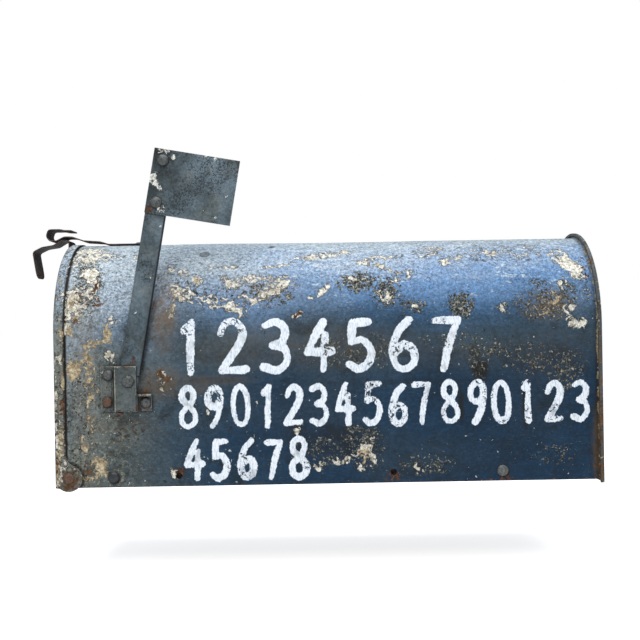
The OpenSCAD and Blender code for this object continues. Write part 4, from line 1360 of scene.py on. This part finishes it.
def battered_rivet(node, body, slot, out, head_h, shank_r, seed):
    """Rivet with a hammered domed head; out is the way the head faces."""
    low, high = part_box(node)
    centre, size = (low + high) / 2, high - low
    axis = max(range(3), key=lambda a: abs(out[a]))
    sign = 1 if out[axis] > 0 else -1
    side_a, side_b = [a for a in range(3) if a != axis]
    head_r = max(size[side_a], size[side_b]) / 2
    top = centre[axis] + sign * size[axis] / 2
    rng = np.random.default_rng(seed)
    lumps = rng.uniform(-1, 1, (2, 3))
    points, rim = [], []
    profile = rivet_profile(head_r, head_h, shank_r, size[axis])
    for k, (radius, depth) in enumerate(profile):
        on_head = k < DOME_RINGS
        for turn in np.arange(RIVET_STEPS) * 2 * math.pi / RIVET_STEPS:
            waves = math.cos(turn), math.sin(2 * turn), math.cos(3 * turn)
            wobble = 1 + 0.02 * sum(lump * wave for lump, wave in zip(lumps[0], waves))
            dent = 0.12 * MM * (lumps[1, 0] * math.cos(turn + 1) + lumps[1, 1])
            dent *= math.sin(math.pi * k / DOME_RINGS)
            r = min(radius * (wobble if on_head else 1), head_r)
            point = [0.0, 0.0, 0.0]
            point[side_a] = centre[side_a] + r * math.cos(turn)
            point[side_b] = centre[side_b] + r * math.sin(turn)
            point[axis] = top - sign * (depth + (abs(dent) if on_head else 0))
            points.append(point)
            rim.append(min(max(k - DOME_RINGS + 1.6, 0), 1))
    mesh = new_mesh(node + "_hammered", points, tube_faces(len(profile), RIVET_STEPS))
    piece = place_piece(mesh, body, slot, node, smooth_angle=50)
    paint_mask(piece, "rim", rim)
    darkness = 1.0 if node == "floor_rivet_front_right" else rng.uniform(0, 0.45)
    paint_mask(piece, "dark", np.full(len(points), darkness))
    weld(piece, face_out=True)


# ---------------------------------------------------------------------------
# Flag and bracket
# ---------------------------------------------------------------------------

UPRIGHT = Matrix.Rotation(-FLAG_LEAN, 4, "Y") @ Matrix.Translation(-PIVOT)


def spot_field(points, spots):
    """Soft field on flat pieces; each spot is (across, up, radius, strength) in millimetres."""
    field = np.zeros(len(points))
    for a, b, radius, strength in spots:
        away = np.hypot(points[:, 0] - a, points[:, 2] - b) / radius
        field = np.maximum(field, strength * unit(1.6 - away))
    return field


def upright(points):
    """Places on the flag, in millimetres from its pivot, with the flag stood upright."""
    matrix = np.array(UPRIGHT)
    return (points @ matrix[:3, :3].T + matrix[:3, 3]) / MM


BLADE_FLAKES = [
    (-7, 178, 4.5, 0.78), (-4, 174, 3, 0.7), (0.5, 169.5, 1.7, 0.85), (3, 154, 4.5, 0.5), (8, 198, 1.8, 0.8),
    (2, 203, 3, 0.56), (-4, 203, 3, 0.5), (59, 172, 1.0, 0.9), (53, 152, 0.9, 0.9), (44, 203, 2.4, 0.66),
    (36, 204, 0.9, 0.9), (12.5, 191, 0.8, 0.9), (42, 157, 0.8, 0.9), (6, 151.5, 3, 0.45),
]
BLADE_RUST = [(-5.5, 149.5, 3.4, 0.82), (-1, 147.5, 2.4, 0.5)]
ARM_FLAKES = [(6.5, 137, 0.9, 0.9), (5, 92, 0.8, 0.8), (-3, 60, 1, 0.7)]
ARM_RUST = [(0, 14, 4, 0.45), (2, 20, 3, 0.4)]


def shadow_ring(points, centre):
    """Painted shadow: a dark ring round a rivet head, heavier below it and to the rear; all in millimetres."""
    ring_r = 4.3
    away = np.hypot(points[:, 0] - centre[0] - 0.6, points[:, 2] - centre[2] + 0.7)
    return unit(1.3 - np.abs(away - ring_r))


def flag_pieces():
    """Arm and blade in their exact shapes, split finely, with their marks."""
    marks = (("flag_arm", ARM_FLAKES, ARM_RUST, 1.6), ("flag_blade", BLADE_FLAKES, BLADE_RUST, 2))
    for node, flakes, rust, longest in marks:
        piece = dense_copy(node, "flag", "flag_paint", longest * MM)
        points = upright(mesh_points(piece))
        paint_mask(piece, "flake", spot_field(points, flakes))
        paint_mask(piece, "rust", spot_field(points, rust))
        paint_mask(piece, "dull", np.zeros(len(points)))
        paint_mask(piece, "line", np.zeros(len(points)))
        # Painted shade: a dark strip down the arm's rear edge, and painted shadow rings round the blade's rivets.
        rear_edge = points[:, 0].max() - 0.9
        shade = unit((points[:, 0] - rear_edge) / 0.5) * (node == "flag_arm")
        for rivet in ("blade_rivet_upper", "blade_rivet_lower"):
            shade = np.maximum(shade, shadow_ring(points, upright(np.array([middle(rivet)]))[0]))
        paint_mask(piece, "shade", shade)
        paint_mask(piece, "gloom", unit(1 - (points[:, 0] + 8) / 28) * (node == "flag_blade"))


def bracket_piece():
    """Flag bracket, split finely, with rust at its edges."""
    piece = dense_copy("flag_bracket", "box", "flag_paint", 1.2 * MM)
    points = (mesh_points(piece) - np.array(PIVOT)) / MM
    raised = points[:, 1] < points[:, 1].min() + 0.9
    left_x, right_x = points[raised, 0].min(), points[raised, 0].max()
    top, low = points[:, 2].max(), points[:, 2].min()

    # Pale lines, partly edges rubbed to primer and partly painted highlight on the lit top edges: the raised
    # face's front edge, the top, and the top of the rear tab
    line = bell(points[:, 0] - left_x - 0.3, 0.8) * raised
    line = np.maximum(line, 0.9 * (points[:, 2] > top - 1.1) * (points[:, 0] > left_x - 8))
    tab = points[points[:, 0] > right_x + 4, 2].max()
    line = np.maximum(line, (points[:, 0] > right_x + 1) * (points[:, 2] > tab - 1.1))
    paint_mask(piece, "line", line)

    # Painted shade along the foot, beside the raised face and round the rivets
    shade = np.maximum(points[:, 2] < low + 0.6, (points[:, 0] > right_x - 0.7) & raised)
    shade = np.maximum(shade, (points[:, 0] > left_x - 2.6) & (points[:, 0] < left_x - 1) & ~raised)
    shade = 0.9 * shade
    for rivet in ("flag_pivot_rivet", "bracket_rivet_upper", "bracket_rivet_lower", "bracket_rivet_rear"):
        shade = np.maximum(shade, shadow_ring(points, (middle(rivet) - PIVOT) / MM))
    paint_mask(piece, "shade", shade)
    paint_mask(piece, "gloom", np.full(len(points), 0.3))
    flakes = [(-18, 5.4, 2, 0.6), (-24, 8, 2, 0.4)]
    rust = [(-7.8, -28, 3, 0.7), (12, -12, 3.5, 0.6), (-3, 14, 3, 0.5), (17, -24, 3, 0.45), (9, -24, 3, 0.5)]
    paint_mask(piece, "flake", spot_field(points, flakes))
    paint_mask(piece, "rust", spot_field(points, rust))
    paint_mask(piece, "dull", np.where(points[:, 0] < -15, 0.95, 0.65))


# ---------------------------------------------------------------------------
# Painted shade behind the screw holes: dark plugs
# ---------------------------------------------------------------------------

# Section of the dark plug: radius and depth behind the outside of the sheet, in millimetres
SHADE_PLUG_SECTION = [(2.0, 4.6), (2.9, 3.4), (3.2, 1.75), (4.6, 1.75), (4.2, 3.4), (3.1, 4.9), (1.6, 5.7)]
SHADE_PLUG_STEPS = 24


def hole_shade_plug(side, centre_x):
    """Dark plug behind an open screw hole, as painted shade inside the hole, hollow towards the hole."""
    rng = np.random.default_rng(int(centre_x / MM) + 300)
    out = SIDES[side]
    points = []
    for radius, depth in SHADE_PLUG_SECTION:
        for turn in np.linspace(0, 2 * math.pi, SHADE_PLUG_STEPS, endpoint=False):
            reach = radius * MM * rng.uniform(0.95, 1.05)
            y = out * (HALF_W - depth * MM)
            points.append((centre_x + reach * math.cos(turn), y, SCREW_Z + reach * math.sin(turn)))
    rings = len(SHADE_PLUG_SECTION)
    faces = [*tube_faces(rings, SHADE_PLUG_STEPS), *end_faces(rings, SHADE_PLUG_STEPS)]
    name = f"hole_shade_plug_{side}_{'front' if centre_x < 0 else 'rear'}"
    mesh = new_mesh(name, points, [face[:: -out] for face in faces])
    place_piece(mesh, "box", "strap_steel", smooth_angle=180)


# ---------------------------------------------------------------------------
# Building
# ---------------------------------------------------------------------------

body_sheet()
door_sheet()
rear_sheet()
floor_sheet()
bent_strip("latch_strip_bent", "latch_strip", "box", LATCH_LINE, latch_rust, 7)
bent_strip("pull_strap_bent", "door_strap", "door", PULL_LINE, pull_rust, 8, round_end=6 * MM)
flag_pieces()
bracket_piece()

UP, AHEAD, LEFT, RIGHT = (0, 0, 1), (-1, 0, 0), (0, 1, 0), (0, -1, 0)
for seed, node in enumerate(sorted(n for n in BODY_OF if "rivet" in n), start=100):
    head_h, out = 2.3 * MM, LEFT if node.endswith("left") else RIGHT
    if node.startswith("latch"):
        head_h, out = 2 * MM, UP
    if node.startswith("strap"):
        head_h, out = 2 * MM, AHEAD
    shank_r = 2.5 * MM if node == "flag_pivot_rivet" else 2.2 * MM
    battered_rivet(node, BODY_OF[node], SLOT_OF[node], out, head_h, shank_r, seed)

for side, centre_x in itertools.product(SIDES, SCREW_XS):
    hole_shade_plug(side, centre_x)

leaf = frame["nodes"]["flag_friction_leaf"]
leaf.data.materials.clear()
leaf.data.materials.append(MATERIALS["rusty_rivet"])

# ---------------------------------------------------------------------------
# Floor, light and camera
# ---------------------------------------------------------------------------


def pale_floor():
    """Wide pale floor with a faint grain, low enough for the open door and clear when seen from below."""
    reach, level = 30.0, HINGE.z - 90 * MM
    corners = [(-reach, -reach, level), (reach, -reach, level), (reach, reach, level), (-reach, reach, level)]
    mesh = new_mesh("floor", corners, [(0, 1, 2, 3)])
    floor = bpy.data.objects.new("floor", mesh)
    bpy.context.scene.collection.objects.link(floor)
    material, g, shader, where = new_material("pale_floor")
    tone = g.ramp(g.noise(where, 3, 4, 0.5), [(0.3, (0.86, 0.86, 0.86)), (0.7, (0.9, 0.9, 0.9))])
    g.feed(shader.inputs["Base Color"], tone)
    shader.inputs["Roughness"].default_value = 0.9
    shader.inputs["Emission Color"].default_value = (1, 1, 1, 1)
    seen = g.add("LightPath").outputs["Is Camera Ray"]
    g.feed(shader.inputs["Emission Strength"], g.math("MULTIPLY", seen, 0.72))
    clear = g.add("BsdfTransparent").outputs[0]
    from_below = g.add("NewGeometry").outputs["Backfacing"]
    both = g.add("MixShader", {0: from_below, 1: shader.outputs["BSDF"], 2: clear})
    g.tree.links.new(both.outputs[0], g.tree.nodes["Material Output"].inputs["Surface"])
    mesh.materials.append(material)


def soft_light(name, place, target, size, power, colour):
    """Large area light aimed at a target."""
    light = bpy.data.lights.new(name, "AREA")
    light.shape, light.size, light.size_y = "RECTANGLE", size[0], size[1]
    light.energy, light.color = power, colour
    lamp = bpy.data.objects.new(name, light)
    lamp.location = place
    lamp.rotation_euler = (Vector(target) - Vector(place)).to_track_quat("-Z", "Y").to_euler()
    bpy.context.scene.collection.objects.link(lamp)


def pale_world():
    """White behind everything; its light is dimmer and slightly blue, as from an open sky."""
    world = bpy.data.worlds.new("pale_world")
    world.use_nodes = True
    bpy.context.scene.world = world
    graph = Graph(world.node_tree)
    background = world.node_tree.nodes["Background"]
    seen = graph.add("LightPath").outputs["Is Camera Ray"]
    graph.feed(background.inputs["Color"], graph.blend(seen, (0.80, 0.88, 1.0, 1), (1, 1, 1, 1)))
    graph.feed(background.inputs["Strength"], graph.band(seen, 0, 1, 0.4, 1.0))


def main_camera():
    """Camera level with the box's flag side, turned and rolled very slightly."""
    place = Vector((-0.0121, -0.930, 0.1211))
    data = bpy.data.cameras.new("camera")
    data.sensor_width, data.lens = 36, 54.4
    data.clip_start, data.clip_end = 0.05, 100
    camera = bpy.data.objects.new("camera", data)
    turn, tip, roll = (math.radians(a) for a in (-0.38, 90.16, -0.95))
    camera.matrix_world = (
        Matrix.Translation(place)
        @ Matrix.Rotation(turn, 4, "Z")
        @ Matrix.Rotation(tip, 4, "X")
        @ Matrix.Rotation(roll, 4, "Z")
    )
    bpy.context.scene.collection.objects.link(camera)
    bpy.context.scene.camera = camera


pale_floor()
pale_world()
soft_light("overhead", (0.1, -0.35, 1.5), (0, 0, 0.1), (1.8, 1.4), 27, (0.94, 0.97, 1.0))
soft_light("key", (-0.45, -1.35, 1.25), (0, 0, 0.08), (0.6, 0.5), 11, (1.0, 0.98, 0.95))
main_camera()
bpy.context.scene.view_settings.view_transform = "Standard"
